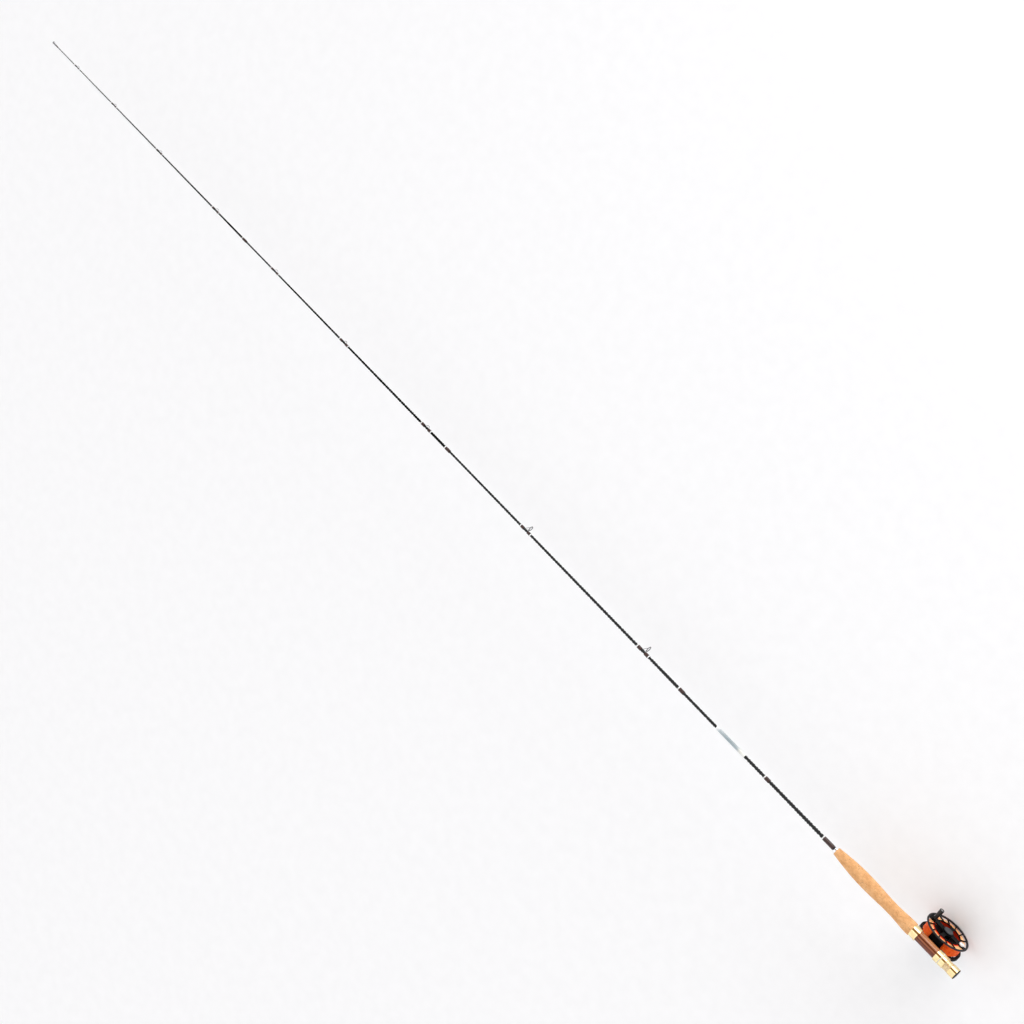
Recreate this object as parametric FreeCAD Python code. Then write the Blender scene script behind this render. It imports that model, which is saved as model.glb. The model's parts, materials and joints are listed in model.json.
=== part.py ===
import FreeCAD, Part
import math
import os
from FreeCAD import Vector

# A four-piece, nine-foot fly rod with a large-arbor fly reel in its seat.
# Row frame, in millimetres: X runs along the rod to the tip, Z is up, the origin is the
# centre of the butt's end face. The reel hangs towards -Z and its handle points to -Y.

# Rod blank: radius at a few stations, and where each section's socket starts
rod_length = 2743.0
section_starts = [14.0, 670.0, 1340.0, 2010.0]
ferrule_overlap = 63.5
ferrule_clearance = 0.05
socket_wall = 0.50
blank_radius_at_butt = 4.64
blank_radius_at_check = 3.90
check_position = 282.0
first_spigot_radius = 2.82
second_spigot_radius = 2.35
third_spigot_radius = 1.80
tip_radius = 1.05
wall_thickness = 0.55
guide_roll = -11.7            # degrees that the upper sections are turned about the rod

# Reel seat and grip
cap_start = 1.2
cap_end = 14.2
cap_radius = 10.2
spigot_of_barrel = 9.1         # the barrel's plain end, inside the cap
thread_end = 45.0
thread_crest = 9.60
thread_root = 9.20
thread_pitch = 1.0
seat_bore = 6.0
insert_radius = 9.60
insert_end = 99.5
hood_start = 36.4
hood_end = 46.0
hood_bore = 9.70
hood_radius = 11.0
nut_start = 25.3
nut_end = 34.8
nut_radius = 11.2
fixed_hood_start = 87.6
fixed_hood_end = 101.0
fixed_hood_radius = 11.6
pocket_drop = 2.4             # how far a hood's pocket sits below the rod's axis
grip_end = 282.0
cork_rings = 14

# Reel: its axis is parallel to Y
reel_x = 64.0
reel_z = -54.8
rim_radius = 42.0
rim_inner = 38.7
rim_front = -18.5
rim_back = -16.1
spoke_front = -17.4
spoke_back = -15.6
drum_radius = 28.0
drum_inner = 26.4
drum_end = 4.0
line_radius = 35.6
hub_radius = 10.0
plate_front = 6.5
plate_back = 9.0
frame_ring_outer = 41.5
frame_ring_inner = 38.6
bridge_inner = 40.0
bridge_outer = 42.4
bridge_half_length = 13.0
bridge_front = -15.8
spindle_radius = 2.5
running_gap = 0.05
foot_start = 38.6
foot_end = 96.4
foot_half_width = 6.2
screw_radius = 1.2
screw_head_radius = 2.0
screw_head_start = -15.1
screw_head_end = -13.9
screw_end = -10.3
spoke_spacing = 25.7          # degrees between the curved spokes
handle_offset = (30.3, 1.2)
weight_offset = (-30.2, -1.4)

rod_axis = Vector(1, 0, 0)
reel_axis = Vector(0, 1, 0)

# Guides: place of the middle, foot-to-foot length, loop radius, wire radius
third_guides = [(1413.0, 27.0, 2.3, 0.50), (1677.0, 24.5, 2.2, 0.48), (1911.0, 23.0, 2.1, 0.46)]
tip_guides = [(2120.0, 21.5, 2.1, 0.45), (2327.0, 20.0, 2.0, 0.43),
              (2500.0, 17.5, 1.9, 0.42), (2645.0, 16.0, 1.9, 0.42)]
large_stripper = {"middle": 780.0, "length": 28.0, "height": 16.0, "ring": 5.6}
small_stripper = {"middle": 1112.0, "length": 26.0, "height": 14.5, "ring": 4.9}
wrap_build = 0.30             # thickness of a thread wrap
trim_build = 0.36
trim_width = 2.2


def save(shape, name):
    shape.exportStep("parts/" + name + ".step")
    print(name, "valid" if shape.isValid() else "NOT VALID", len(shape.Solids), round(shape.Volume, 2))


def join(shapes):
    """Fuses the shapes into one and merges faces that lie on one surface."""
    return shapes[0].multiFuse(shapes[1:]).removeSplitter()


def group(shapes):
    return Part.makeCompound(shapes)


def turned(outline):
    """Turns an outline of (x, radius) points about the rod's axis."""
    points = [Vector(x, 0, radius) for x, radius in outline]
    face = Part.Face(Part.makePolygon(points + points[:1]))
    return face.revolve(Vector(0, 0, 0), rod_axis, 360)


def rod_cylinder(start, end, radius, y=0.0, z=0.0):
    return Part.makeCylinder(radius, end - start, Vector(start, y, z), rod_axis)


def rod_tube(start, end, outer, inner):
    return rod_cylinder(start, end, outer).cut(rod_cylinder(start - 1, end + 1, inner))


def reel_cylinder(front, back, radius, offset=(0.0, 0.0)):
    corner = Vector(reel_x + offset[0], front, reel_z + offset[1])
    return Part.makeCylinder(radius, back - front, corner, reel_axis)


def reel_ring(front, back, outer, inner, offset=(0.0, 0.0)):
    return reel_cylinder(front, back, outer, offset).cut(reel_cylinder(front - 1, back + 1, inner, offset))


def reel_turned(outline, offset=(0.0, 0.0)):
    """Turns an outline of (y, radius) points about the reel's axis."""
    points = [Vector(reel_x + offset[0], y, reel_z + offset[1] + radius) for y, radius in outline]
    face = Part.Face(Part.makePolygon(points + points[:1]))
    return face.revolve(Vector(reel_x + offset[0], 0, reel_z + offset[1]), reel_axis, 360)


def reel_point(radius, angle, y):
    turn = math.radians(angle)
    return Vector(reel_x + radius * math.cos(turn), y, reel_z + radius * math.sin(turn))


def reel_arm(front, back, inner, outer, width, angle):
    """A straight arm of the reel, from one radius to another, at an angle from +X towards +Z."""
    arm = Part.makeBox(outer - inner, back - front, width, Vector(reel_x + inner, front, reel_z - width / 2))
    arm.rotate(Vector(reel_x, 0, reel_z), reel_axis, -angle)
    return arm


def around_reel(shape, count, first=0.0):
    """Copies of a shape, evenly spaced about the reel's axis."""
    copies = []
    for index in range(count):
        copy = shape.copy()
        copy.rotate(Vector(reel_x, 0, reel_z), reel_axis, -(first + 360.0 * index / count))
        copies.append(copy)
    return copies


def between(x, start, end, first, last):
    return first + (last - first) * (x - start) / (end - start)


def blank_radius(x):
    """Outer radius of the bare blank at x, on whichever section is outermost there."""
    if x < check_position:
        return between(x, section_starts[0], check_position, blank_radius_at_butt, blank_radius_at_check)
    ends = [first_spigot_radius, second_spigot_radius, third_spigot_radius, tip_radius]
    if x < section_starts[1]:
        return between(x, check_position, section_starts[1], blank_radius_at_check, ends[0])
    for index in (3, 2, 1):
        if x >= section_starts[index]:
            socket_radius = ends[index - 1] + ferrule_clearance + socket_wall
            finish = section_starts[index + 1] if index < 3 else rod_length
            return between(x, section_starts[index], finish, socket_radius, ends[index])
    return ends[0]


def spigot_radius(index, x):
    """Outer radius of the male end under a socket: it keeps the taper of its own section."""
    start = section_starts[index]
    fall = 0.0030 if index == 1 else 0.0022
    return [0.0, first_spigot_radius, second_spigot_radius, third_spigot_radius][index] - fall * (x - start)


# ---- rod ----

def make_butt_section():
    spigot_start = section_starts[1]
    spigot_end = spigot_start + ferrule_overlap
    shoulder = blank_radius(check_position)
    return turned([
        (section_starts[0], blank_radius_at_butt),
        (check_position, shoulder),
        (spigot_start, first_spigot_radius),
        (spigot_end, spigot_radius(1, spigot_end)),
        (spigot_end, spigot_radius(1, spigot_end) - wall_thickness),
        (spigot_start, first_spigot_radius - wall_thickness),
        (check_position, shoulder - 2 * wall_thickness),
        (section_starts[0], blank_radius_at_butt - 2 * wall_thickness),
    ])


def make_upper_section(index):
    """Section 1, 2 or 3 above the butt: a socket over the spigot below, then a tapered tube."""
    start = section_starts[index]
    socket_end = start + ferrule_overlap
    bore_at_start = spigot_radius(index, start) + ferrule_clearance
    bore_at_end = spigot_radius(index, socket_end) + ferrule_clearance
    step = socket_end + 6.0
    if index < 3:
        spigot_start = section_starts[index + 1]
        spigot_end = spigot_start + ferrule_overlap
        last_radius = spigot_radius(index + 1, spigot_end)
        joint_radius = spigot_radius(index + 1, spigot_start)
        outer = [(start, blank_radius(start)), (spigot_start, joint_radius), (spigot_end, last_radius)]
        inner = [(spigot_end, last_radius - wall_thickness), (spigot_start, joint_radius - wall_thickness)]
    else:
        outer = [(start, blank_radius(start)), (rod_length - 3, tip_radius)]
        inner = [(rod_length - 3, tip_radius - 0.4)]
    inner.append((step, bore_at_end - 0.35))
    inner.append((socket_end, bore_at_end))
    inner.append((start, bore_at_start))
    return turned(outer + inner)


def make_wrap(start, end, foot=None, build=wrap_build):
    """A thread wrap on the blank. Over a guide's foot it rises in a low hump."""
    core = max(blank_radius(start), blank_radius(end)) + 0.01
    wrap = rod_cylinder(start, end, core + build)
    if foot is not None:
        wrap = wrap.fuse(rod_cylinder(start, end, 0.95, z=-(core + 0.05)))
    wrap = wrap.cut(rod_cylinder(start - 1, end + 1, core))
    if foot is not None:
        wrap = wrap.cut(foot)
    return wrap


def make_foot(start, end, core, width=1.2, height=0.5):
    """The flat foot of a guide, lying on the blank's underside."""
    return Part.makeBox(end - start, width, height, Vector(start, -width / 2, -core - height))


def guide_core(middle, length):
    return blank_radius(middle - length / 2) + 0.02


def guide_wraps(middle, length, open_length):
    """The two wraps over a guide's feet, and the trim band at each wrap's outer end."""
    core = guide_core(middle, length)
    wraps = []
    trims = []
    for side in (-1, 1):
        inner = middle + side * open_length / 2
        outer = middle + side * length / 2
        low, high = min(inner, outer), max(inner, outer)
        foot = make_foot(low - 1.0 if side > 0 else low + 1.0, high - 1.0 if side > 0 else high + 1.0, core)
        wraps.append(make_wrap(low, high, foot))
        edge = outer if side > 0 else outer - trim_width
        trims.append(make_wrap(edge, edge + trim_width, build=trim_build))
    return wraps, trims


def make_snake_guide(middle, length, loop, wire):
    """Two flat feet joined by a wire that makes one full turn below the blank."""
    core = guide_core(middle, length)
    reach = 0.20 * length
    feet_inner = reach + 0.4
    foot_length = length / 2 - 1.0 - feet_inner
    left = make_foot(middle - feet_inner - foot_length, middle - feet_inner, core)
    right = make_foot(middle + feet_inner, middle + feet_inner + foot_length, core)
    helix = Part.makeHelix(2 * reach, 2 * reach, loop)
    helix.rotate(Vector(0, 0, 0), Vector(0, 1, 0), 90)
    first = helix.Vertexes[0].Point
    turn = math.degrees(math.atan2(first.y, first.z))
    helix.rotate(Vector(0, 0, 0), Vector(1, 0, 0), turn)
    centre = -(core + wire + 0.05 + loop)
    helix.translate(Vector(middle - reach, 0, centre))
    start_edge = helix.Edges[0]
    start = start_edge.valueAt(start_edge.FirstParameter)
    tangent = start_edge.tangentAt(start_edge.FirstParameter)
    section = Part.Wire(Part.makeCircle(wire, start, tangent))
    coil = Part.Wire(helix.Edges).makePipeShell([section], True, True)
    pads = []
    for side in (-1, 1):
        low = middle + min(side * (reach - 0.15), side * (feet_inner + 0.15))
        pads.append(Part.makeBox(feet_inner - reach + 0.3, 1.2, 2 * wire + 0.05,
                                 Vector(low, -0.6, -core - 2 * wire - 0.05)))
    return join([coil, left, right] + pads)


def strut(start, end, radius):
    return Part.makeCylinder(radius, (end - start).Length, start, end - start)


def make_stripper_frame(middle, length, height, ring):
    """A stripping guide's frame: a ring holder on three wire legs, with a flat foot at each end."""
    core = guide_core(middle, length)
    wire = 0.50
    holder = Part.makeTorus(ring, 0.62, Vector(middle, 0, -height), rod_axis)
    front = Vector(middle + 4.2, 0, -core - 0.55)
    back = Vector(middle - 4.3, 0, -core - 0.55)
    legs = []
    for side in (-1, 1):
        tilt = math.radians(55)
        meet = Vector(middle, side * ring * math.sin(tilt), -height + ring * math.cos(tilt))
        legs.append(strut(front, meet, wire))
    legs.append(strut(back, Vector(middle, 0, -height + ring), wire))
    knots = [Part.makeSphere(0.66, front), Part.makeSphere(0.66, back)]
    feet = [make_foot(middle + 3.8, middle + length / 2 - 1.0, core),
            make_foot(middle - length / 2 + 1.0, middle - 4.2, core)]
    blank = rod_cylinder(middle - length, middle + length, core)
    return join([holder] + legs + knots + feet).cut(blank)


def make_stripper_ring(middle, height, ring):
    """The hard ring inside the holder: a round-edged band."""
    band = Part.makeTorus(ring - 1.0, 0.62, Vector(middle, 0, -height), rod_axis)
    return band.cut(Part.makeTorus(ring, 0.62, Vector(middle, 0, -height), rod_axis))


def rolled(shape):
    shape = shape.copy()
    shape.rotate(Vector(0, 0, 0), rod_axis, guide_roll)
    return shape


def make_tip_top():
    """A short tube over the tip with a small tilted ring at its end."""
    tube = rod_tube(rod_length - 14.0, rod_length - 2.2, tip_radius + 0.55, tip_radius + 0.10)
    ring_centre = Vector(rod_length - 1.6, 0, -tip_radius - 1.1)
    tilt = Vector(math.cos(math.radians(25)), 0, -math.sin(math.radians(25)))
    ring = Part.makeTorus(2.1, 0.42, ring_centre, tilt)
    brace_start = Vector(rod_length - 8.0, 0, -tip_radius - 0.3)
    brace_end = ring_centre + Vector(-0.7, 0, -1.8)
    whole = join([tube, ring, strut(brace_start, brace_end, 0.34)])
    return whole.cut(rod_cylinder(rod_length - 20, rod_length - 2.2, tip_radius + 0.10))


def make_rod():
    save(make_butt_section(), "blank_butt")
    names = ["second", "third", "tip"]
    for index, name in enumerate(names, start=1):
        save(make_upper_section(index), "blank_" + name)

    # butt section: the wrap above the grip, a single decorative wrap, and the label band
    butt_wraps = [make_wrap(289.0, 313.0), make_wrap(448.5, 459.0)]
    butt_trims = [make_wrap(313.0, 315.2, build=trim_build), make_wrap(459.0, 461.2, build=trim_build)]
    save(group(butt_wraps), "wraps_butt")
    save(group(butt_trims), "trims_butt")
    save(make_wrap(511.0, 584.0, build=0.15), "label_band")
    save(turned([(282.0, 4.05), (282.0, 5.8), (283.2, 5.9), (286.4, 4.9), (286.8, 4.4), (286.8, 4.05)]),
         "winding_check")

    fittings = {"second": [], "third": third_guides, "tip": tip_guides}
    for index, name in enumerate(names, start=1):
        start = section_starts[index]
        wraps = [make_wrap(start + 0.5, start + 12.5)]
        trims = [make_wrap(start + 12.5, start + 12.5 + trim_width, build=trim_build)]
        if name == "second":
            for guide in (large_stripper, small_stripper):
                more_wraps, more_trims = guide_wraps(guide["middle"], guide["length"], 10.4)
                wraps += more_wraps
                trims += more_trims
        for middle, length, loop, wire in fittings[name]:
            more_wraps, more_trims = guide_wraps(middle, length, 0.40 * length + 1.2)
            wraps += more_wraps
            trims += more_trims
        if name == "tip":
            wraps.append(make_wrap(rod_length - 22.0, rod_length - 14.2))
        save(rolled(group(wraps)), "wraps_" + name)
        save(rolled(group(trims)), "trims_" + name)

    for name, guides in (("third", third_guides), ("tip", tip_guides)):
        loops = [rolled(make_snake_guide(*guide)) for guide in guides]
        save(group(loops), "snake_guides_" + name)
    for name, guide in (("large", large_stripper), ("small", small_stripper)):
        frame = make_stripper_frame(guide["middle"], guide["length"], guide["height"], guide["ring"])
        save(rolled(frame), "stripping_frame_" + name)
        ring = make_stripper_ring(guide["middle"], guide["height"], guide["ring"])
        save(rolled(ring), "stripping_ring_" + name)
    save(rolled(make_tip_top()), "tip_top")


# ---- grip and reel seat ----

def make_cork_grip():
    """A half-wells grip, cut into the glued cork rings that it is made of."""
    profile = [(fixed_hood_end, 12.6), (113.0, 12.7), (129.0, 11.6), (154.0, 10.9), (186.0, 12.2),
               (214.0, 12.8), (240.0, 11.9), (262.0, 9.9), (grip_end, 7.5)]
    curve = Part.BSplineCurve()
    curve.interpolate([Vector(x, 0, radius) for x, radius in profile])
    bore = blank_radius(fixed_hood_end) + 0.02
    first = Vector(fixed_hood_end, 0, profile[0][1])
    last = Vector(grip_end, 0, profile[-1][1])
    bore_last = Vector(grip_end, 0, bore)
    bore_first = Vector(fixed_hood_end, 0, bore)
    edges = [curve.toShape(), Part.makeLine(last, bore_last), Part.makeLine(bore_last, bore_first),
             Part.makeLine(bore_first, first)]
    grip = Part.Face(Part.Wire(edges)).revolve(Vector(0, 0, 0), rod_axis, 360)
    rings = []
    width = (grip_end - fixed_hood_end) / cork_rings
    for index in range(cork_rings):
        start = fixed_hood_end + index * width
        slab = Part.makeBox(width, 40, 40, Vector(start, -20, -20))
        rings.append(grip.common(slab).Solids[0])
    return group(rings)


def make_threaded_barrel():
    """The seat's metal barrel: a plain spigot under the cap, then a fine thread cut as ridges."""
    outline = [(6.0, seat_bore), (6.0, spigot_of_barrel), (cap_end, spigot_of_barrel), (cap_end, thread_root)]
    turns = int((thread_end - cap_end) / thread_pitch)
    for turn in range(turns):
        start = cap_end + 0.2 + turn * thread_pitch
        outline += [(start + 0.1, thread_root), (start + 0.4, thread_crest), (start + 0.6, thread_crest),
                    (start + 0.9, thread_root)]
    outline += [(thread_end, thread_root), (thread_end, seat_bore)]
    return turned(outline)


def make_pocket(start, end, radius, drop):
    """The inside of a hood: the barrel's bore and, below it, the space for the reel's foot."""
    return join([rod_cylinder(start, end, radius), rod_cylinder(start, end, radius, z=-drop)])


def make_sliding_hood():
    bead = rod_cylinder(hood_start, hood_start + 1.4, hood_radius + 0.5)
    body = join([rod_cylinder(hood_start, hood_end, hood_radius),
                 rod_cylinder(hood_start, hood_end, hood_radius - 0.2, z=-pocket_drop - 0.1), bead])
    body = body.cut(rod_cylinder(hood_start - 1, hood_end + 1, hood_bore))
    return body.cut(make_pocket(hood_start + 1.8, hood_end + 1, hood_bore, pocket_drop))


def make_locking_nut():
    """A smooth ring with a raised bead at each end and a plain bore over the thread."""
    width = 1.3
    return turned([(nut_start, hood_bore), (nut_start, nut_radius - 0.3), (nut_start + 0.3, nut_radius),
                   (nut_start + width, nut_radius), (nut_start + width + 0.4, nut_radius - 0.45),
                   (nut_end - width - 0.4, nut_radius - 0.45), (nut_end - width, nut_radius),
                   (nut_end - 0.3, nut_radius), (nut_end, nut_radius - 0.3), (nut_end, hood_bore)])


def make_fixed_hood():
    lip = rod_cylinder(fixed_hood_start, fixed_hood_start + 2.2, fixed_hood_radius + 0.5)
    body = join([rod_cylinder(fixed_hood_start, fixed_hood_end, fixed_hood_radius),
                 rod_cylinder(fixed_hood_start, fixed_hood_end, hood_radius - 0.2, z=-pocket_drop - 0.1),
                 lip])
    body = body.cut(rod_cylinder(fixed_hood_start - 1, insert_end, insert_radius))
    body = body.cut(rod_cylinder(insert_end - 1, fixed_hood_end + 1, 4.9))
    return body.cut(make_pocket(fixed_hood_start - 1, 98.0, insert_radius, pocket_drop))


def make_butt_cap():
    return turned([(cap_start, 5.0), (cap_start, cap_radius - 0.5), (cap_start + 0.5, cap_radius),
                   (cap_end - 0.4, cap_radius), (cap_end, cap_radius - 0.4),
                   (cap_end, spigot_of_barrel), (4.0, spigot_of_barrel), (4.0, 5.0)])


def make_butt_button():
    edge = cap_radius - 0.4
    return turned([(0.0, 0.0), (0.0, edge - 0.7), (0.6, edge), (cap_start, edge), (cap_start, 5.0),
                   (5.4, 5.0), (5.4, 0.0)])


def make_seat():
    save(make_cork_grip(), "cork_grip")
    save(make_threaded_barrel(), "threaded_barrel")
    save(rod_tube(thread_end, insert_end, insert_radius, seat_bore), "wood_insert")
    save(rod_tube(16.0, 98.0, seat_bore, blank_radius_at_butt + 0.02), "seat_arbor")
    save(make_sliding_hood(), "sliding_hood")
    save(rod_tube(nut_end + 0.2, hood_start, hood_radius - 0.5, hood_bore), "slip_washer")
    save(make_locking_nut(), "locking_nut")
    save(make_fixed_hood(), "fixed_hood")
    save(make_butt_cap(), "butt_cap")
    save(make_butt_button(), "butt_button")


# ---- reel ----

screw_places = (-6.0, 6.0)
pin_radius = 1.2
pin_circle = 8.2


def make_reel_foot():
    """A saddle that follows the seat, thinned towards its rounded ends, on a short pedestal."""
    outside = rod_cylinder(foot_start, foot_end, insert_radius - running_gap, z=-pocket_drop + running_gap)
    saddle = outside.cut(rod_cylinder(foot_start - 1, foot_end + 1, insert_radius + running_gap))
    thin = -insert_radius - 1.0
    thick = -insert_radius - pocket_drop
    taper = 12.0
    side = [Vector(foot_start, -20, thin), Vector(foot_start + taper, -20, thick),
            Vector(foot_end - taper, -20, thick), Vector(foot_end, -20, thin),
            Vector(foot_end, -20, 0), Vector(foot_start, -20, 0)]
    side_view = Part.Face(Part.makePolygon(side + side[:1])).extrude(Vector(0, 40, 0))
    half_width = foot_half_width
    length = foot_end - foot_start - 2 * half_width
    plan_view = join([
        Part.makeBox(length, 2 * half_width, 20, Vector(foot_start + half_width, -half_width, -20)),
        Part.makeCylinder(half_width, 20, Vector(foot_start + half_width, 0, -20)),
        Part.makeCylinder(half_width, 20, Vector(foot_end - half_width, 0, -20))])
    plate = saddle.common(side_view).common(plan_view)
    pedestal = Part.makeBox(22, 11, 5.6, Vector(reel_x - 11, -5.5, -15.0))
    pedestal = pedestal.cut(rod_cylinder(reel_x - 20, reel_x + 20, insert_radius + 0.8))
    pedestal = pedestal.cut(reel_cylinder(-20, 20, bridge_outer))
    foot = join([plate, pedestal])
    for place in screw_places:
        foot = foot.cut(Part.makeCylinder(screw_radius, screw_end + 16, Vector(reel_x + place, 0, -16)))
    return foot


def make_foot_screws():
    screws = []
    for place in screw_places:
        base = Vector(reel_x + place, 0, 0)
        head_height = screw_head_end - screw_head_start
        head = Part.makeCylinder(screw_head_radius, head_height, base + Vector(0, 0, screw_head_start))
        shank_length = screw_end - screw_head_end
        shank = Part.makeCylinder(screw_radius, shank_length, base + Vector(0, 0, screw_head_end))
        socket = Part.makeCylinder(0.9, 0.7, base + Vector(0, 0, screw_head_start))
        screws.append(join([head, shank]).cut(socket))
    return group(screws)


def make_reel_frame():
    """One machined piece: a ported back plate, its outer ring, the bosses, and the bridge to the foot."""
    ring = reel_ring(3.4, plate_back, frame_ring_outer, frame_ring_inner)
    disc = reel_cylinder(plate_front, plate_back, 30.0)
    front_boss = reel_cylinder(3.0, plate_front, 5.5)
    back_boss = reel_cylinder(plate_back, 11.0, 13.0)
    arms = around_reel(reel_arm(plate_front, plate_back, 28.0, 40.0, 4.4, 0.0), 10, first=18.0)
    wedge = Part.makeBox(2 * bridge_half_length, 40, 60, Vector(reel_x - bridge_half_length, -20, reel_z))
    deck = reel_ring(bridge_front, plate_back, bridge_outer, bridge_inner).common(wedge)
    root = reel_ring(3.4, plate_back, bridge_outer, 40.0).common(wedge)
    frame = join([ring, disc, front_boss, back_boss, deck, root] + arms)
    frame = frame.cut(reel_cylinder(0, 20, spindle_radius))
    for hole in around_reel(reel_cylinder(0, 20, pin_radius + running_gap, (pin_circle, 0)), 3, first=90.0):
        frame = frame.cut(hole)
    for place in screw_places:
        hole = Part.makeCylinder(screw_radius, 8, Vector(reel_x + place, 0, -17))
        seat = Part.makeCylinder(screw_head_radius, screw_head_end + 17, Vector(reel_x + place, 0, -17))
        frame = frame.cut(hole).cut(seat)
    return frame


def make_spindle():
    """The fixed shaft: a groove for the clip at its front end, a flange, and a stud at the back."""
    return reel_turned([(-18.4, 0.0), (-18.4, 2.2), (-18.1, spindle_radius), (-17.75, spindle_radius),
                        (-17.75, 1.9), (-17.05, 1.9), (-17.05, spindle_radius), (1.3, spindle_radius),
                        (1.3, 4.4), (3.0, 4.4), (3.0, spindle_radius), (plate_back, spindle_radius),
                        (plate_back, 1.9), (15.3, 1.9), (15.3, 0.0)])


def make_retaining_clip():
    clip = reel_ring(-17.65, -17.15, 3.9, 1.92)
    return clip.cut(Part.makeBox(5, 3, 2.6, Vector(reel_x, -19, reel_z - 1.3)))


def make_belleville_springs():
    first = reel_turned([(3.25, 10.4), (3.65, 10.4), (4.20, 6.3), (3.80, 6.3)])
    second = reel_turned([(4.20, 6.3), (4.60, 6.3), (5.15, 10.4), (4.75, 10.4)])
    return group([first, second])


def make_drag_knob():
    """A scalloped knob with a recess for its screw and a bore over the stud."""
    knob = reel_turned([(11.65, 1.95), (11.65, 11.9), (12.3, 12.5), (16.2, 12.5), (17.0, 11.7),
                        (17.0, 4.0), (15.0, 4.0), (15.0, 1.95)])
    for scallop in around_reel(reel_cylinder(11, 18, 1.7, (13.5, 0)), 12):
        knob = knob.cut(scallop)
    return knob


def make_knob_screw():
    head = reel_turned([(15.3, 0.0), (15.3, 3.4), (16.3, 3.4), (16.6, 3.1), (16.6, 0.0)])
    slot = Part.makeBox(7, 1, 0.8, Vector(reel_x - 3.5, 16.1, reel_z - 0.4))
    return head.cut(slot)


def make_drag_hub():
    return reel_turned([(-3.9, spindle_radius + running_gap), (-3.9, 5.0), (-0.4, 5.0), (-0.4, 18.0),
                        (1.0, 18.0), (1.0, spindle_radius + running_gap)])


def make_curved_spoke(angle):
    """A thin spoke that sweeps round as it goes out, from the drum's lip to the rim."""
    sweep = 9.0
    edges = []
    sides = []
    for side in (-1, 1):
        start = reel_point(26.2, angle + side * 1.9 - sweep / 2, spoke_front)
        middle = reel_point(32.6, angle + side * 1.5 + 0.6, spoke_front)
        end = reel_point(rim_inner + 0.4, angle + side * 1.5 + sweep / 2, spoke_front)
        sides.append((start, middle, end))
    edges.append(Part.Arc(*sides[0]).toShape())
    edges.append(Part.makeLine(sides[0][2], sides[1][2]))
    edges.append(Part.Arc(sides[1][2], sides[1][1], sides[1][0]).toShape())
    edges.append(Part.makeLine(sides[1][0], sides[0][0]))
    return Part.Face(Part.Wire(edges)).extrude(Vector(0, spoke_back - spoke_front, 0))


def make_spool_face():
    """The front spider: a deep palming rim, thin curved spokes, two pads and four arms to the hub."""
    edge = 0.8
    rim = reel_turned([(rim_front, rim_inner + edge), (rim_front, rim_radius - edge),
                       (rim_front + edge, rim_radius), (rim_back, rim_radius), (rim_back, rim_inner),
                       (rim_front + edge, rim_inner)])
    ledge = reel_ring(spoke_front, rim_back, rim_inner + 1, rim_inner - 0.4)
    lip = reel_ring(spoke_front, spoke_back, 26.8, 25.2)
    collar = reel_ring(spoke_front, spoke_back, 12.4, hub_radius)
    pieces = [rim, ledge, lip, collar]
    for angle, width in ((0, 13.0), (90, 7.0), (180, 13.0), (270, 7.0)):
        pieces.append(reel_arm(spoke_front, spoke_back, 11.0, 26.0, width, angle))
    for first in (36.0, 216.0):
        for index in range(5):
            pieces.append(make_curved_spoke(first + index * spoke_spacing))
    for angle, width in ((0, 16.0), (180, 6.4)):
        pieces.append(reel_arm(spoke_front, spoke_back, 25.6, rim_inner - 0.6, width, angle))
    pieces.append(reel_cylinder(-17.7, spoke_back, 5.4, handle_offset))
    pieces.append(reel_cylinder(spoke_front, spoke_back, 5.8, weight_offset))
    face = join(pieces)
    face = face.cut(reel_cylinder(-30, 0, 1.5, handle_offset))
    return face.cut(reel_cylinder(-30, 0, 1.5, weight_offset))


def drum_screw_holes():
    return around_reel(reel_cylinder(-6.5, -2.6, 0.9, (24.2, 0)), 6, first=15.0)


def make_spool_hub():
    hub = reel_turned([(-19.0, 6.0), (-19.0, hub_radius), (-6.0, hub_radius), (-6.0, drum_inner),
                       (-4.0, drum_inner), (-4.0, 11.2), (-0.7, 11.2), (-0.7, 9.0), (-4.0, 9.0),
                       (-4.0, 6.0)])
    for hole in drum_screw_holes():
        hub = hub.cut(hole)
    return hub


def make_arbor_drum():
    drum = reel_turned([(spoke_back, drum_inner), (spoke_back, drum_radius), (drum_end, drum_radius),
                        (drum_end, drum_inner), (-2.4, drum_inner), (-2.4, 22.0), (-4.0, 22.0),
                        (-4.0, drum_inner)])
    for hole in drum_screw_holes():
        drum = drum.cut(hole)
    return drum


def make_drum_screws():
    head = reel_cylinder(-7.0, -6.0, 1.7, (24.2, 0))
    shank = reel_cylinder(-6.0, -2.6, 0.9, (24.2, 0))
    socket = reel_cylinder(-7.0, -6.5, 0.8, (24.2, 0))
    return group(around_reel(join([head, shank]).cut(socket), 6, first=15.0))


def make_rear_flange():
    lip = reel_ring(drum_end, 5.2, 29.2, 25.5)
    ring = reel_ring(drum_end, 5.2, 38.2, 36.2)
    spokes = around_reel(reel_arm(drum_end, 5.2, 28.0, 37.0, 1.8, 0.0), 12, first=15.0)
    return join([lip, ring] + spokes)


def make_line_winding():
    """The wound fly line as one slightly crowned ring between the two spiders."""
    front, back = -15.3, 3.7
    start = Vector(reel_x, front, reel_z + line_radius)
    crown = Vector(reel_x, (front + back) / 2, reel_z + line_radius + 0.8)
    end = Vector(reel_x, back, reel_z + line_radius)
    inner_end = Vector(reel_x, back, reel_z + drum_radius)
    inner_start = Vector(reel_x, front, reel_z + drum_radius)
    edges = [Part.Arc(start, crown, end).toShape(), Part.makeLine(end, inner_end),
             Part.makeLine(inner_end, inner_start), Part.makeLine(inner_start, start)]
    return Part.Face(Part.Wire(edges)).revolve(Vector(reel_x, 0, reel_z), reel_axis, 360)


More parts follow.
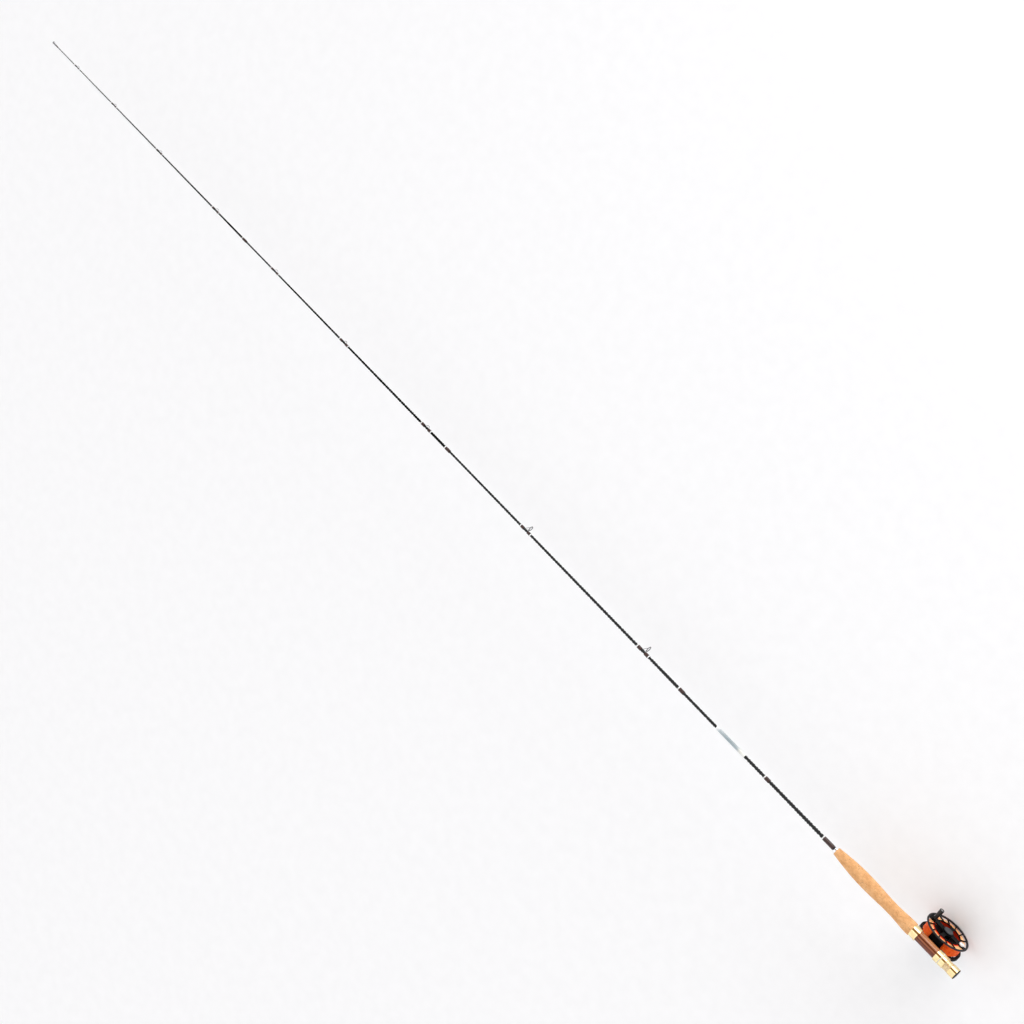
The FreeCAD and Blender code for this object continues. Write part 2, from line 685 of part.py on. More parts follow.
def make_handle_knob():
    """A slim turned knob, narrow at its foot, with a recess for the pin's head."""
    return reel_turned([(-18.0, 1.55), (-18.0, 3.3), (-19.2, 3.6), (-22.5, 3.35), (-26.5, 3.9),
                        (-33.0, 4.15), (-37.6, 4.3), (-38.6, 4.0), (-39.2, 3.3), (-39.2, 3.0),
                        (-37.2, 3.0), (-37.2, 1.55)], handle_offset)


def make_handle_pin():
    return reel_turned([(spoke_back, 0.0), (spoke_back, 1.5), (-37.5, 1.5), (-37.5, 2.7), (-38.2, 2.7),
                        (-38.5, 2.3), (-38.5, 0.0)], handle_offset)


def make_counterweight():
    return reel_turned([(spoke_back, 0.0), (spoke_back, 1.5), (spoke_front, 1.5), (spoke_front, 5.0),
                        (-19.3, 5.0), (-19.8, 4.5), (-19.8, 0.0)], weight_offset)


def make_reel():
    save(make_reel_foot(), "reel_foot")
    save(make_foot_screws(), "foot_screws")
    save(make_reel_frame(), "reel_frame")
    save(make_spindle(), "spindle")
    save(make_retaining_clip(), "retaining_clip")
    save(reel_ring(2.45, 3.25, 18.0, 6.5), "brake_plate")
    save(make_belleville_springs(), "belleville_springs")
    save(reel_ring(5.15, 6.0, 10.6, 6.2), "thrust_ring")
    pins = around_reel(reel_cylinder(6.0, 11.3, pin_radius, (pin_circle, 0)), 3, first=90.0)
    save(group(pins), "drag_pins")
    save(reel_ring(11.3, 11.6, 11.0, 4.5), "knob_washer")
    save(make_drag_knob(), "drag_knob")
    save(make_knob_screw(), "knob_screw")
    save(make_drag_hub(), "drag_hub")
    save(reel_ring(1.0, 2.4, 18.0, 8.0), "cork_drag_washer")
    save(make_spool_face(), "spool_face")
    save(make_spool_hub(), "spool_hub")
    save(make_arbor_drum(), "arbor_drum")
    save(make_drum_screws(), "drum_screws")
    save(make_rear_flange(), "rear_flange")
    bushings = [reel_ring(-16.8, -12.8, 6.0, spindle_radius + running_gap),
                reel_ring(-8.2, -4.2, 6.0, spindle_radius + running_gap)]
    save(group(bushings), "spool_bushings")
    save(reel_ring(-4.0, -0.8, 9.0, 7.0), "clutch_race")
    save(group(around_reel(reel_cylinder(-3.8, -1.0, 0.94, (6.0, 0)), 8)), "clutch_rollers")
    cap = reel_turned([(-20.3, 0.0), (-20.3, 8.2), (-19.8, 8.8), (-19.0, 8.8), (-19.0, 5.95), (-17.9, 5.95),
                       (-17.9, 4.9), (-19.0, 4.9), (-19.0, 0.0)])
    save(cap, "hub_cap")
    save(make_line_winding(), "line_winding")
    save(make_handle_knob(), "handle_knob")
    save(make_handle_pin(), "handle_pin")
    save(make_counterweight(), "counterweight")


os.makedirs("parts", exist_ok=True)
make_rod()
make_seat()
make_reel()
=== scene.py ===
import json
import math
import random
import bpy
import numpy as np
from mathutils import Matrix, Vector, noise


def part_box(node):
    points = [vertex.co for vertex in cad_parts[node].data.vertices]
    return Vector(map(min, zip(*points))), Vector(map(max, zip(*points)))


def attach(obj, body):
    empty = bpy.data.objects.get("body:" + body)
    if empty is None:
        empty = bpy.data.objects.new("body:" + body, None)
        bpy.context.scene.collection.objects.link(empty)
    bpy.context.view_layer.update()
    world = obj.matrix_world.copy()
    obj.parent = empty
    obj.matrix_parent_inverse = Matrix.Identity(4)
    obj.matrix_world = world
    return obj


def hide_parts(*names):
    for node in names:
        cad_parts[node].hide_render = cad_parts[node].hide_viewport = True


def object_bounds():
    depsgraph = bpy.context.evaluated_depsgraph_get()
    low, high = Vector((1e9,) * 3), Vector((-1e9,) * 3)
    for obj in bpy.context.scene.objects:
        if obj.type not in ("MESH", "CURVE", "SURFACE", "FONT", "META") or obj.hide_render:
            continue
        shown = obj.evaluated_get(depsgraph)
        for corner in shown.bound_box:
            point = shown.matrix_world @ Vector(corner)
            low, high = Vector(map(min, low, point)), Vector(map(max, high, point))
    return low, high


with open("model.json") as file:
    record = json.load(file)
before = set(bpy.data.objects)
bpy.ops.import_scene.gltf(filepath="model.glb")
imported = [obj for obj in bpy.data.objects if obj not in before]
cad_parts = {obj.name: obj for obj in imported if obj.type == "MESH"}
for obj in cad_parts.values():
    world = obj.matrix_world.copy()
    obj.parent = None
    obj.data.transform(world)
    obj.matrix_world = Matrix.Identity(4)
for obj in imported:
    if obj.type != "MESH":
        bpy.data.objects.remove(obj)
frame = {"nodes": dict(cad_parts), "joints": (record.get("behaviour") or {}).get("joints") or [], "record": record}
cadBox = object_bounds()
record = frame["record"]
mm = 0.001
print("frame loaded,", len(frame["nodes"]), "parts")

# where things are, read from the frame
spoolJoint = [joint for joint in frame["joints"] if joint["name"] == "spool_spin"][0]
reelAxis = Vector(spoolJoint["pos_m"])
handleJoint = [joint for joint in frame["joints"] if joint["name"] == "handle_spin"][0]
handleAxis = Vector(handleJoint["pos_m"])
ringBoxes = {opening["name"]: opening["box_m"] for opening in record["physics"]["openings"]}


def middleOf(box):
    return (Vector(box[0]) + Vector(box[1])) / 2


# the upper sections are turned a little about the rod, as the guide rings show
rollPoint = middleOf(ringBoxes["large_guide_ring"])
guideRoll = math.atan2(-rollPoint.y, -rollPoint.z)


# the separate solids of a part, each as an array of points, ordered along the rod
def looseParts(node):
    mesh = frame["nodes"][node].data
    keys = {}
    labels = [keys.setdefault(tuple(round(value, 6) for value in v.co), len(keys)) for v in mesh.vertices]
    leader = list(range(len(keys)))

    def find(item):
        while leader[item] != item:
            leader[item] = leader[leader[item]]
            item = leader[item]
        return item

    for edge in mesh.edges:
        leader[find(labels[edge.vertices[0]])] = find(labels[edge.vertices[1]])
    parts = {}
    for key, label in keys.items():
        parts.setdefault(find(label), []).append(key)
    return sorted((np.array(points) for points in parts.values()), key=lambda points: points[:, 0].min())


# the lowest and highest corner around some points, as plain numbers
def extentsOf(points):
    spread = np.array(points)
    return [float(value) for value in spread.min(0)], [float(value) for value in spread.max(0)]


# outer and inner radius about the rod's axis at each place along a turned part
def stationsOf(points):
    radii = np.hypot(points[:, 1], points[:, 2])
    places = sorted(set(round(float(x), 5) for x in points[:, 0]))
    found = []
    for place in places:
        near = radii[abs(points[:, 0] - place) < 1e-5]
        found.append((place, float(near.max()), float(near.min())))
    return found


def addPiece(name, points, faces, material, body, stands, smooth=40):
    mesh = bpy.data.meshes.new(name)
    mesh.from_pydata([tuple(point) for point in points], [], faces)
    mesh.validate()
    mesh.materials.append(material)
    mesh.shade_smooth()
    mesh.set_sharp_from_angle(angle=math.radians(smooth))
    piece = bpy.data.objects.new(name, mesh)
    bpy.context.scene.collection.objects.link(piece)
    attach(piece, body)
    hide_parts(*stands)


# quads between rows of points, each row a closed loop
def gridFaces(rows, columns, closedRows=False):
    faces = []
    for row in range(rows if closedRows else rows - 1):
        after = (row + 1) % rows
        for column in range(columns):
            beside = (column + 1) % columns
            faces.append((row * columns + column, row * columns + beside,
                          after * columns + beside, after * columns + column))
    return faces


# points and faces of a closed outline of (x, radius) turned about the rod
def turnedAboutRod(outline, sides):
    points = []
    for x, radius in outline:
        for side in range(sides):
            angle = 2 * math.pi * side / sides
            points.append((x, radius * math.cos(angle), radius * math.sin(angle)))
    return points, gridFaces(len(outline), sides, closedRows=True)


# a sleeve about the rod whose outer radius follows the place and the angle, closed by its bore
def sleeveAboutRod(places, sides, bore, radiusAt):
    points = []
    for x in places:
        for side in range(sides):
            angle = 2 * math.pi * side / sides
            radius = radiusAt(x, angle)
            points.append((x, radius * math.cos(angle), radius * math.sin(angle)))
    points += turnedAboutRod([(places[-1], bore), (places[0], bore)], sides)[0]
    return points, gridFaces(len(places) + 2, sides, closedRows=True)


# evenly spaced places, both ends included
def spread(start, end, rows):
    return [start + (end - start) * row / rows for row in range(rows + 1)]


# points and faces of a closed outline of (y, radius) turned about an axis parallel to Y
def turnedAboutReel(outline, sides, centre):
    points = []
    for y, radius in outline:
        for side in range(sides):
            angle = 2 * math.pi * side / sides
            points.append((centre.x + radius * math.cos(angle), y, centre.z - radius * math.sin(angle)))
    return points, gridFaces(len(outline), sides, closedRows=True)


# a tube along a path. sizes gives each point's half width and half height, and
# reference(point) the direction that the height is measured in
def sweepAlong(path, sizes, sides, reference, closed=False):
    points = []
    count = len(path)
    for index, place in enumerate(path):
        before = path[(index - 1) % count] if closed or index > 0 else place
        after = path[(index + 1) % count] if closed or index < count - 1 else place
        ahead = (after - before).normalized()
        up = reference(place)
        across = ahead.cross(up).normalized()
        up = across.cross(ahead)
        width, height = sizes[index] if isinstance(sizes, list) else sizes
        for side in range(sides):
            angle = 2 * math.pi * side / sides
            points.append(place + across * width * math.cos(angle) + up * height * math.sin(angle))
    faces = gridFaces(count, sides, closedRows=closed)
    if not closed:
        faces.append(tuple(reversed(range(sides))))
        faces.append(tuple(range((count - 1) * sides, count * sides)))
    return points, faces


# joins several (points, faces) into one
def gather(parts):
    allPoints = []
    allFaces = []
    for points, faces in parts:
        start = len(allPoints)
        allPoints += [tuple(point) for point in points]
        allFaces += [tuple(start + corner for corner in face) for face in faces]
    return allPoints, allFaces


# a smooth curve through a few points, by Catmull-Rom
def smoothThrough(knots, steps):
    knots = [Vector(knot) for knot in knots]
    ends = [knots[0] * 2 - knots[1]] + knots + [knots[-1] * 2 - knots[-2]]
    path = []
    for index in range(1, len(ends) - 2):
        a, b, c, d = ends[index - 1:index + 3]
        for step in range(steps):
            t = step / steps
            path.append(0.5 * ((2 * b) + (c - a) * t + (2 * a - 5 * b + 4 * c - d) * t * t
                               + (3 * b - a - 3 * c + d) * t ** 3))
    path.append(knots[-1])
    return path


# turns points about the rod, from straight below it to where the guides are
def rollToGuides(points):
    turn = Matrix.Rotation(-guideRoll, 4, "X")
    return [turn @ Vector(point) for point in points]


# one material, with the few kinds of node that these surfaces are made from
class Finish:
    def __init__(self, name, look):
        self.material = bpy.data.materials.new(name)
        self.material.use_nodes = True
        self.nodes = self.material.node_tree.nodes
        self.links = self.material.node_tree.links
        self.shader = self.nodes["Principled BSDF"]
        for socket, value in look.items():
            self.shader.inputs[socket].default_value = value
        self.coords = self.nodes.new("ShaderNodeTexCoord").outputs["Object"]

    def stretched(self, stretch):
        mapping = self.nodes.new("ShaderNodeMapping")
        mapping.inputs["Scale"].default_value = stretch
        self.links.new(self.coords, mapping.inputs["Vector"])
        return mapping.outputs["Vector"]

    def cloud(self, stretch, detail=3.0, rough=0.5, warp=0.0):
        node = self.nodes.new("ShaderNodeTexNoise")
        node.inputs["Scale"].default_value = 1.0
        node.inputs["Detail"].default_value = detail
        node.inputs["Roughness"].default_value = rough
        node.inputs["Distortion"].default_value = warp
        self.links.new(self.stretched(stretch), node.inputs["Vector"])
        return node.outputs["Fac"]

    def cells(self, stretch):
        node = self.nodes.new("ShaderNodeTexVoronoi")
        node.inputs["Scale"].default_value = 1.0
        self.links.new(self.stretched(stretch), node.inputs["Vector"])
        return node.outputs["Distance"]

    # bands across the rod. The wave texture turns 20 radians for each unit of its scale
    def bands(self, pitch, warp):
        node = self.nodes.new("ShaderNodeTexWave")
        node.inputs["Scale"].default_value = 2 * math.pi / (20 * pitch)
        node.inputs["Distortion"].default_value = warp
        self.links.new(self.coords, node.inputs["Vector"])
        return node.outputs["Fac"]

    def ramp(self, value, stops):
        node = self.nodes.new("ShaderNodeValToRGB")
        elements = node.color_ramp.elements
        while len(elements) < len(stops):
            elements.new(0.5)
        for element, (place, colour) in zip(elements, stops):
            element.position = place
            element.color = (*colour, 1.0)
        self.links.new(value, node.inputs["Fac"])
        return node.outputs["Color"]

    def between(self, value, low, high, fromLow=0.3, fromHigh=0.7):
        node = self.nodes.new("ShaderNodeMapRange")
        node.inputs["From Min"].default_value = fromLow
        node.inputs["From Max"].default_value = fromHigh
        node.inputs["To Min"].default_value = low
        node.inputs["To Max"].default_value = high
        self.links.new(value, node.inputs["Value"])
        return node.outputs["Result"]

    def math(self, kind, first, second):
        node = self.nodes.new("ShaderNodeMath")
        node.operation = kind
        for index, value in enumerate((first, second)):
            if isinstance(value, (int, float)):
                node.inputs[index].default_value = value
            else:
                self.links.new(value, node.inputs[index])
        return node.outputs["Value"]

    def mix(self, amount, first, second):
        node = self.nodes.new("ShaderNodeMix")
        node.data_type = "RGBA"
        for index, value in ((0, amount), (6, first), (7, second)):
            if isinstance(value, (int, float)):
                node.inputs[index].default_value = value
            elif isinstance(value, tuple):
                node.inputs[index].default_value = (*value, 1.0)
            else:
                self.links.new(value, node.inputs[index])
        return node.outputs[2]

    def axis(self, name):
        node = self.nodes.new("ShaderNodeSeparateXYZ")
        self.links.new(self.coords, node.inputs["Vector"])
        return node.outputs[name]

    def fromReelAxis(self):
        along = self.math("SUBTRACT", self.axis("X"), reelAxis.x)
        up = self.math("SUBTRACT", self.axis("Z"), reelAxis.z)
        squares = self.math("ADD", self.math("MULTIPLY", along, along), self.math("MULTIPLY", up, up))
        return self.math("SQRT", squares, 0.0)

    def use(self, socket, value):
        self.links.new(value, self.shader.inputs[socket])
        return self

    def bump(self, height, depth, strength=1.0):
        node = self.nodes.new("ShaderNodeBump")
        node.inputs["Strength"].default_value = strength
        node.inputs["Distance"].default_value = depth
        self.links.new(height, node.inputs["Height"])
        self.links.new(node.outputs["Normal"], self.shader.inputs["Normal"])
        return self


def graphiteFinish(name, tones, coat, shine):
    finish = Finish(name, {"Coat Weight": coat, "Coat Roughness": 0.12, "Specular IOR Level": shine})
    fibres = finish.cloud((60, 5200, 5200), detail=2.0)
    tape = finish.bands(2.6 * mm, warp=1.5)
    tone = finish.ramp(fibres, list(zip((0.32, 0.60, 0.80), tones)))
    finish.use("Base Color", finish.mix(finish.between(tape, 0.0, 0.35), tone, (0.002, 0.002, 0.003)))
    finish.use("Roughness", finish.between(fibres, 0.28, 0.44))
    return finish.bump(finish.math("ADD", fibres, finish.math("MULTIPLY", tape, 0.5)), 0.02 * mm).material


def corkFinish():
    finish = Finish("cork_sanded", {"Specular IOR Level": 0.25})
    grains = finish.cells((420, 420, 420))
    blotches = finish.cloud((95, 130, 130), detail=5.0, rough=0.6)
    pits = finish.cloud((260, 520, 520), detail=4.0, rough=0.55, warp=0.6)
    streaks = finish.cloud((1100, 190, 190), detail=3.0)
    base = finish.ramp(blotches, [(0.30, (0.60, 0.290, 0.110)), (0.50, (0.74, 0.395, 0.170)),
                                  (0.70, (0.84, 0.500, 0.250))])
    grained = finish.mix(finish.between(grains, 0.26, 0.0, 0.05, 0.75), base, (0.50, 0.255, 0.095))
    streaked = finish.mix(finish.between(streaks, 0.0, 0.55, 0.55, 0.72), grained, (0.44, 0.20, 0.065))
    pitted = finish.mix(finish.between(pits, 0.0, 0.85, 0.62, 0.70), streaked, (0.22, 0.095, 0.035))
    finish.use("Base Color", pitted)
    finish.use("Roughness", finish.between(blotches, 0.72, 0.92))
    height = finish.math("SUBTRACT", finish.math("MULTIPLY", grains, 0.4), pits)
    return finish.bump(height, 0.16 * mm, 0.9).material


def woodFinish():
    finish = Finish("rosewood_polished", {"Coat Weight": 0.60, "Coat Roughness": 0.08,
                                          "Specular IOR Level": 0.15})
    grain = finish.cloud((9, 360, 360), detail=5.0, rough=0.60, warp=0.35)
    fine = finish.cloud((70, 2600, 2600), detail=3.0)
    pores = finish.cloud((230, 4200, 4200), detail=1.0)
    heart = finish.ramp(grain, [(0.34, (0.022, 0.003, 0.001)), (0.46, (0.090, 0.012, 0.002)),
                                (0.55, (0.190, 0.034, 0.005)), (0.66, (0.400, 0.120, 0.028))])
    # a paler copy of the wood's colour, painted light for the side the strong light falls on
    paintedLitWood = finish.ramp(grain, [(0.34, (0.20, 0.050, 0.010)), (0.50, (0.46, 0.160, 0.045)),
                              (0.66, (0.68, 0.30, 0.115))])
    # painted light: the side towards the reel's handle, which faces the strong light, is painted paler, down to a
    # wavering edge
    side = -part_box("wood_insert")[1].z
    across = finish.math("ADD", finish.axis("Y"), finish.between(grain, -2.2 * mm, 2.2 * mm))
    colour = finish.mix(finish.between(across, 0.90, 0.0, side + 2.4 * mm, side + 4.2 * mm), heart, paintedLitWood)
    colour = finish.mix(finish.between(fine, 0.0, 0.35), colour, (0.050, 0.008, 0.002))
    colour = finish.mix(finish.between(pores, 0.0, 0.75, 0.64, 0.72), colour, (0.014, 0.003, 0.001))
    finish.use("Base Color", colour)
    finish.use("Roughness", finish.between(fine, 0.28, 0.42))
    return finish.bump(finish.math("SUBTRACT", fine, pores), 0.03 * mm, 0.5).material


def goldFinish():
    finish = Finish("gold_polished", {"Metallic": 1.0})
    lines = finish.cloud((9000, 260, 260), detail=2.0)
    wear = finish.cloud((140, 140, 140), detail=5.0)
    colour = finish.ramp(wear, [(0.35, (0.86, 0.66, 0.33)), (0.60, (0.93, 0.76, 0.43)),
                                (0.80, (0.96, 0.83, 0.55))])
    finish.use("Base Color", colour)
    rubbed = finish.between(wear, 0.0, 0.06)
    finish.use("Roughness", finish.math("ADD", finish.between(lines, 0.05, 0.13), rubbed))
    return finish.bump(lines, 0.004 * mm, 0.5).material


def goldThreadFinish():
    finish = Finish("gold_satin", {"Metallic": 0.85})
    lines = finish.cloud((5200, 200, 200), detail=3.0)
    grime = finish.cloud((420, 420, 420), detail=4.0)
    colour = finish.ramp(grime, [(0.34, (0.66, 0.50, 0.29)), (0.55, (0.86, 0.70, 0.45)),
                                 (0.75, (0.92, 0.78, 0.55))])
    finish.use("Base Color", colour)
    finish.use("Roughness", finish.between(lines, 0.30, 0.46))
    return finish.bump(lines, 0.01 * mm, 0.6).material


# one fine grain drives the colour, the roughness and the bump
def fineGrainFinish(name, look, grainSize, tones, rough, depth, strength=0.5, detail=2.0):
    finish = Finish(name, look)
    grain = finish.cloud(grainSize, detail=detail)
    finish.use("Base Color", finish.ramp(grain, list(zip((0.3, 0.7), tones))))
    finish.use("Roughness", finish.between(grain, *rough))
    return finish.bump(grain, depth * mm, strength).material


# bead-blasted and anodised aluminium
def anodisedFinish(name, dark, light, low=0.34, high=0.46, metallic=0.2, shine=0.22):
    finish = Finish(name, {"Metallic": metallic, "Specular IOR Level": shine})
    grit = finish.cloud((7200, 7200, 7200), detail=2.0)
    wear = finish.cloud((170, 170, 170), detail=4.0)
    finish.use("Base Color", finish.ramp(wear, [(0.32, dark), (0.70, light)]))
    rubbed = finish.between(wear, 0.0, 0.05)
    finish.use("Roughness", finish.math("ADD", finish.between(grit, low, high), rubbed))
    return finish.bump(grit, 0.010 * mm, 0.6).material


# black like the rest of the reel, with a painted highlight: the palming rim is painted dark grey where it catches
# the light
def spoolFaceFinish():
    finish = Finish("spool_face_anodised", {"Specular IOR Level": 0.05})
    grit = finish.cloud((7200, 7200, 7200), detail=2.0)
    wear = finish.cloud((170, 170, 170), detail=4.0)
    inner = finish.ramp(wear, [(0.32, (0.002, 0.002, 0.002)), (0.70, (0.006, 0.005, 0.006))])
    # painted highlight: the rim's colour is lifted to dark grey
    rimPaintedHighlight = finish.ramp(wear, [(0.32, (0.018, 0.018, 0.020)), (0.70, (0.046, 0.046, 0.050))])
    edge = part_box("spool_face")[1].z - reelAxis.z
    rimHighlightMask = finish.between(finish.fromReelAxis(), 0.0, 1.0, edge - 4.0 * mm, edge - 2.5 * mm)
    finish.use("Base Color", finish.mix(rimHighlightMask, inner, rimPaintedHighlight))
    rubbed = finish.between(wear, 0.0, 0.05)
    finish.use("Roughness", finish.math("ADD", finish.between(grit, 0.34, 0.46), rubbed))
    return finish.bump(grit, 0.010 * mm, 0.6).material


def lineFinish():
    finish = Finish("orange_line", {"Specular IOR Level": 0.22})
    patches = finish.cloud((160, 160, 160), detail=4.0)
    fine = finish.cloud((2600, 2600, 2600), detail=2.0)
    colour = finish.ramp(patches, [(0.30, (0.86, 0.090, 0.004)), (0.52, (1.0, 0.150, 0.007)),
                                   (0.74, (1.0, 0.225, 0.018))])
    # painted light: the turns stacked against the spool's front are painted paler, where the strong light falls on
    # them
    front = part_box("line_winding")[0].y
    side = finish.math("ADD", finish.axis("Y"), finish.between(patches, -0.4 * mm, 0.4 * mm))
    # a paler copy of the line's orange, painted light for the lit front turns
    paintedFrontLight = finish.ramp(patches, [(0.30, (1.0, 0.50, 0.18)), (0.70, (1.0, 0.76, 0.40))])
    colour = finish.mix(finish.between(side, 0.95, 0.0, front + 0.7 * mm, front + 1.5 * mm), colour, paintedFrontLight)
    finish.use("Base Color", finish.mix(finish.between(fine, 0.0, 0.15), colour, (0.60, 0.04, 0.002)))
    finish.use("Roughness", finish.between(fine, 0.34, 0.50))
    return finish.bump(fine, 0.02 * mm, 0.4).material


# thread laid side by side under a clear resin
def threadFinish(name, stops, metallic=0.0, coat=0.80, shine=0.12):
    finish = Finish(name, {"Metallic": metallic, "Coat Weight": coat, "Coat Roughness": 0.06,
                           "Specular IOR Level": shine})
    threads = finish.bands(0.2 * mm, warp=0.15)
    blotches = finish.cloud((260, 260, 260), detail=3.0)
    colour = finish.ramp(finish.math("MULTIPLY", finish.math("ADD", threads, blotches), 0.5), stops)
    finish.use("Base Color", colour)
    finish.use("Roughness", finish.between(threads, 0.34, 0.52, 0.0, 1.0))
    return finish.bump(threads, 0.03 * mm, 0.7).material


# silver foil that fades to white at one end and to beige at the other
def labelFinish():
    low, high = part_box("label_band")
    finish = Finish("label_foil", {"Metallic": 0.10, "Coat Weight": 0.3, "Coat Roughness": 0.10})
    grain = finish.cloud((90, 2400, 2400), detail=3.0)
    along = finish.between(finish.axis("X"), 0.0, 1.0, low.x, high.x)
    wavering = finish.math("ADD", along, finish.between(grain, -0.03, 0.03))
    colour = finish.ramp(wavering, [(0.00, (0.80, 0.80, 0.76)), (0.18, (0.66, 0.66, 0.61)),
                                    (0.27, (0.34, 0.40, 0.42)), (0.60, (0.27, 0.33, 0.35)),
                                    (0.88, (0.42, 0.47, 0.49)), (0.97, (0.85, 0.86, 0.86))])
    finish.use("Base Color", colour)
    finish.use("Roughness", finish.between(grain, 0.22, 0.38))
    return finish.bump(grain, 0.008 * mm, 0.5).material


def rubberFinish():
    finish = Finish("black_rubber", {"Specular IOR Level": 0.35})
    skin = finish.cloud((3600, 3600, 3600), detail=3.0)
    dust = finish.cloud((240, 240, 240), detail=5.0)
    finish.use("Base Color", finish.ramp(dust, [(0.35, (0.012, 0.011, 0.011)),
                                                (0.75, (0.032, 0.030, 0.029))]))
    finish.use("Roughness", finish.between(skin, 0.58, 0.78))
    return finish.bump(skin, 0.03 * mm, 0.6).material


def plasticFinish(name, dark, light):
    finish = Finish(name, {"Specular IOR Level": 0.45})
    skin = finish.cloud((2400, 2400, 2400), detail=3.0)
    wear = finish.cloud((320, 320, 320), detail=4.0)
    finish.use("Base Color", finish.ramp(wear, [(0.3, dark), (0.75, light)]))
    finish.use("Roughness", finish.between(skin, 0.34, 0.48))
    return finish.bump(skin, 0.015 * mm, 0.5).material


burgundy = [(0.16, (0.006, 0.002, 0.002)), (0.45, (0.022, 0.006, 0.004)), (0.80, (0.070, 0.020, 0.012))]
silverThread = [(0.16, (0.50, 0.50, 0.50)), (0.45, (0.80, 0.80, 0.79)), (0.80, (0.96, 0.96, 0.95))]
lowerGraphite = [(0.006, 0.006, 0.007), (0.014, 0.014, 0.015), (0.030, 0.030, 0.032)]
upperGraphite = [(0.002, 0.002, 0.002), (0.004, 0.004, 0.004), (0.010, 0.010, 0.011)]
finishes = {
    "graphite": graphiteFinish("graphite_gloss", lowerGraphite, 0.22, 0.16),
    "wrap_thread": threadFinish("burgundy_thread", burgundy),
    "trim_thread": threadFinish("silver_thread", silverThread, metallic=0.4, coat=0.9, shine=0.5),
    "label_foil": labelFinish(),
    "guide_wire": fineGrainFinish("guide_chrome", {"Metallic": 1.0}, (900, 900, 900),
                                  ((0.15, 0.15, 0.16), (0.27, 0.27, 0.28)), (0.12, 0.24), 0.006, 0.4, 4.0),
    "hard_ring": fineGrainFinish("ceramic_ring", {"Coat Weight": 0.5, "Coat Roughness": 0.05},
                                 (1500, 1500, 1500), ((0.012, 0.012, 0.014), (0.035, 0.036, 0.040)),
                                 (0.12, 0.22), 0.003, 0.4, 3.0),
    "cork": corkFinish(),
    "seat_wood": woodFinish(),
    "gold_metal": goldFinish(),
    "gold_thread": goldThreadFinish(),
    "silver_metal": fineGrainFinish("silver_bright", {"Metallic": 1.0}, (6000, 240, 240),
                                    ((0.80, 0.81, 0.83), (0.94, 0.94, 0.95)), (0.14, 0.26), 0.005),
    "black_rubber": rubberFinish(),
    "foam": plasticFinish("seat_foam", (0.58, 0.54, 0.42), (0.72, 0.68, 0.56)),
    "black_metal": anodisedFinish("black_anodised", (0.002, 0.002, 0.002), (0.006, 0.006, 0.007),
                                  0.36, 0.48, 0.0, 0.05),
    "cap_grey": anodisedFinish("grey_anodised", (0.040, 0.040, 0.045), (0.064, 0.064, 0.070)),
    "orange_metal": anodisedFinish("orange_anodised", (0.90, 0.022, 0.002), (1.0, 0.050, 0.004),
                                   0.30, 0.42, 0.10, 0.3),
    "fly_line": lineFinish(),
    "steel": fineGrainFinish("turned_steel", {"Metallic": 1.0}, (420, 6400, 420),
                             ((0.42, 0.42, 0.43), (0.66, 0.66, 0.67)), (0.22, 0.36), 0.006),
    "bronze": fineGrainFinish("sintered_bronze", {"Metallic": 1.0}, (420, 6400, 420),
                              ((0.42, 0.25, 0.10), (0.62, 0.42, 0.20)), (0.22, 0.36), 0.006),
    "washer_plastic": plasticFinish("acetal_washer", (0.74, 0.70, 0.60), (0.84, 0.81, 0.73)),
    "handle_black": plasticFinish("black_handle", (0.010, 0.010, 0.011), (0.024, 0.023, 0.023)),
}
slimGraphite = graphiteFinish("graphite_satin", upperGraphite, 0.0, 0.05)
counterweightSteel = fineGrainFinish("counterweight_steel", {"Metallic": 0.55}, (700, 5200, 700),
                                     ((0.90, 0.90, 0.90), (0.99, 0.99, 0.98)), (0.22, 0.36), 0.006)
ownFinish = {"counterweight": counterweightSteel, "spool_face": spoolFaceFinish()}
slotOf = {part["node"]: part["material_slot"] for part in record["subparts"]}
print("finishes made:", len(finishes))


# parts kept from the frame get eased edges and their finish
easedEdges = {
    "locking_nut": 0.18, "sliding_hood": 0.30, "fixed_hood": 0.30, "butt_cap": 0.18, "butt_button": 0.25,
    "winding_check": 0.12, "slip_washer": 0.10, "wood_insert": 0.12, "reel_foot": 0.35, "reel_frame": 0.35,
    "spool_face": 0.28, "spool_hub": 0.30, "arbor_drum": 0.15, "rear_flange": 0.22, "hub_cap": 0.22,
    "counterweight": 0.25, "drag_knob": 0.30, "knob_screw": 0.12, "knob_washer": 0.08, "drum_screws": 0.12,
    "foot_screws": 0.15, "handle_pin": 0.15,
}
easing = {"mergeGap": 0.001, "flatAngle": 0.5, "edgeAngle": 35, "segments": 3, "faceWeight": 60}


# the frame's triangles are joined into flat faces first, so that only real edges are rounded
def easeEdges(part, width):
    weld = part.modifiers.new("weld", "WELD")
    weld.merge_threshold = easing["mergeGap"] * mm
    flatten = part.modifiers.new("flatten", "DECIMATE")
    flatten.decimate_type = "DISSOLVE"
    flatten.angle_limit = math.radians(easing["flatAngle"])
    bevel = part.modifiers.new("bevel", "BEVEL")
    bevel.width = width * mm
    bevel.segments = easing["segments"]
    bevel.limit_method = "ANGLE"
    bevel.angle_limit = math.radians(easing["edgeAngle"])
    bevel.use_clamp_overlap = True
    normals = part.modifiers.new("normals", "WEIGHTED_NORMAL")
    normals.keep_sharp = False
    normals.weight = easing["faceWeight"]


def finishKeptParts():
    for node, part in frame["nodes"].items():
        part.data.materials.clear()
        part.data.materials.append(ownFinish.get(node, finishes[slotOf[node]]))
        if node in easedEdges:
            easeEdges(part, easedEdges[node])


finishKeptParts()
print("kept parts finished")


blank = {"sides": 56, "stationGap": 9.0, "endEase": 0.12}


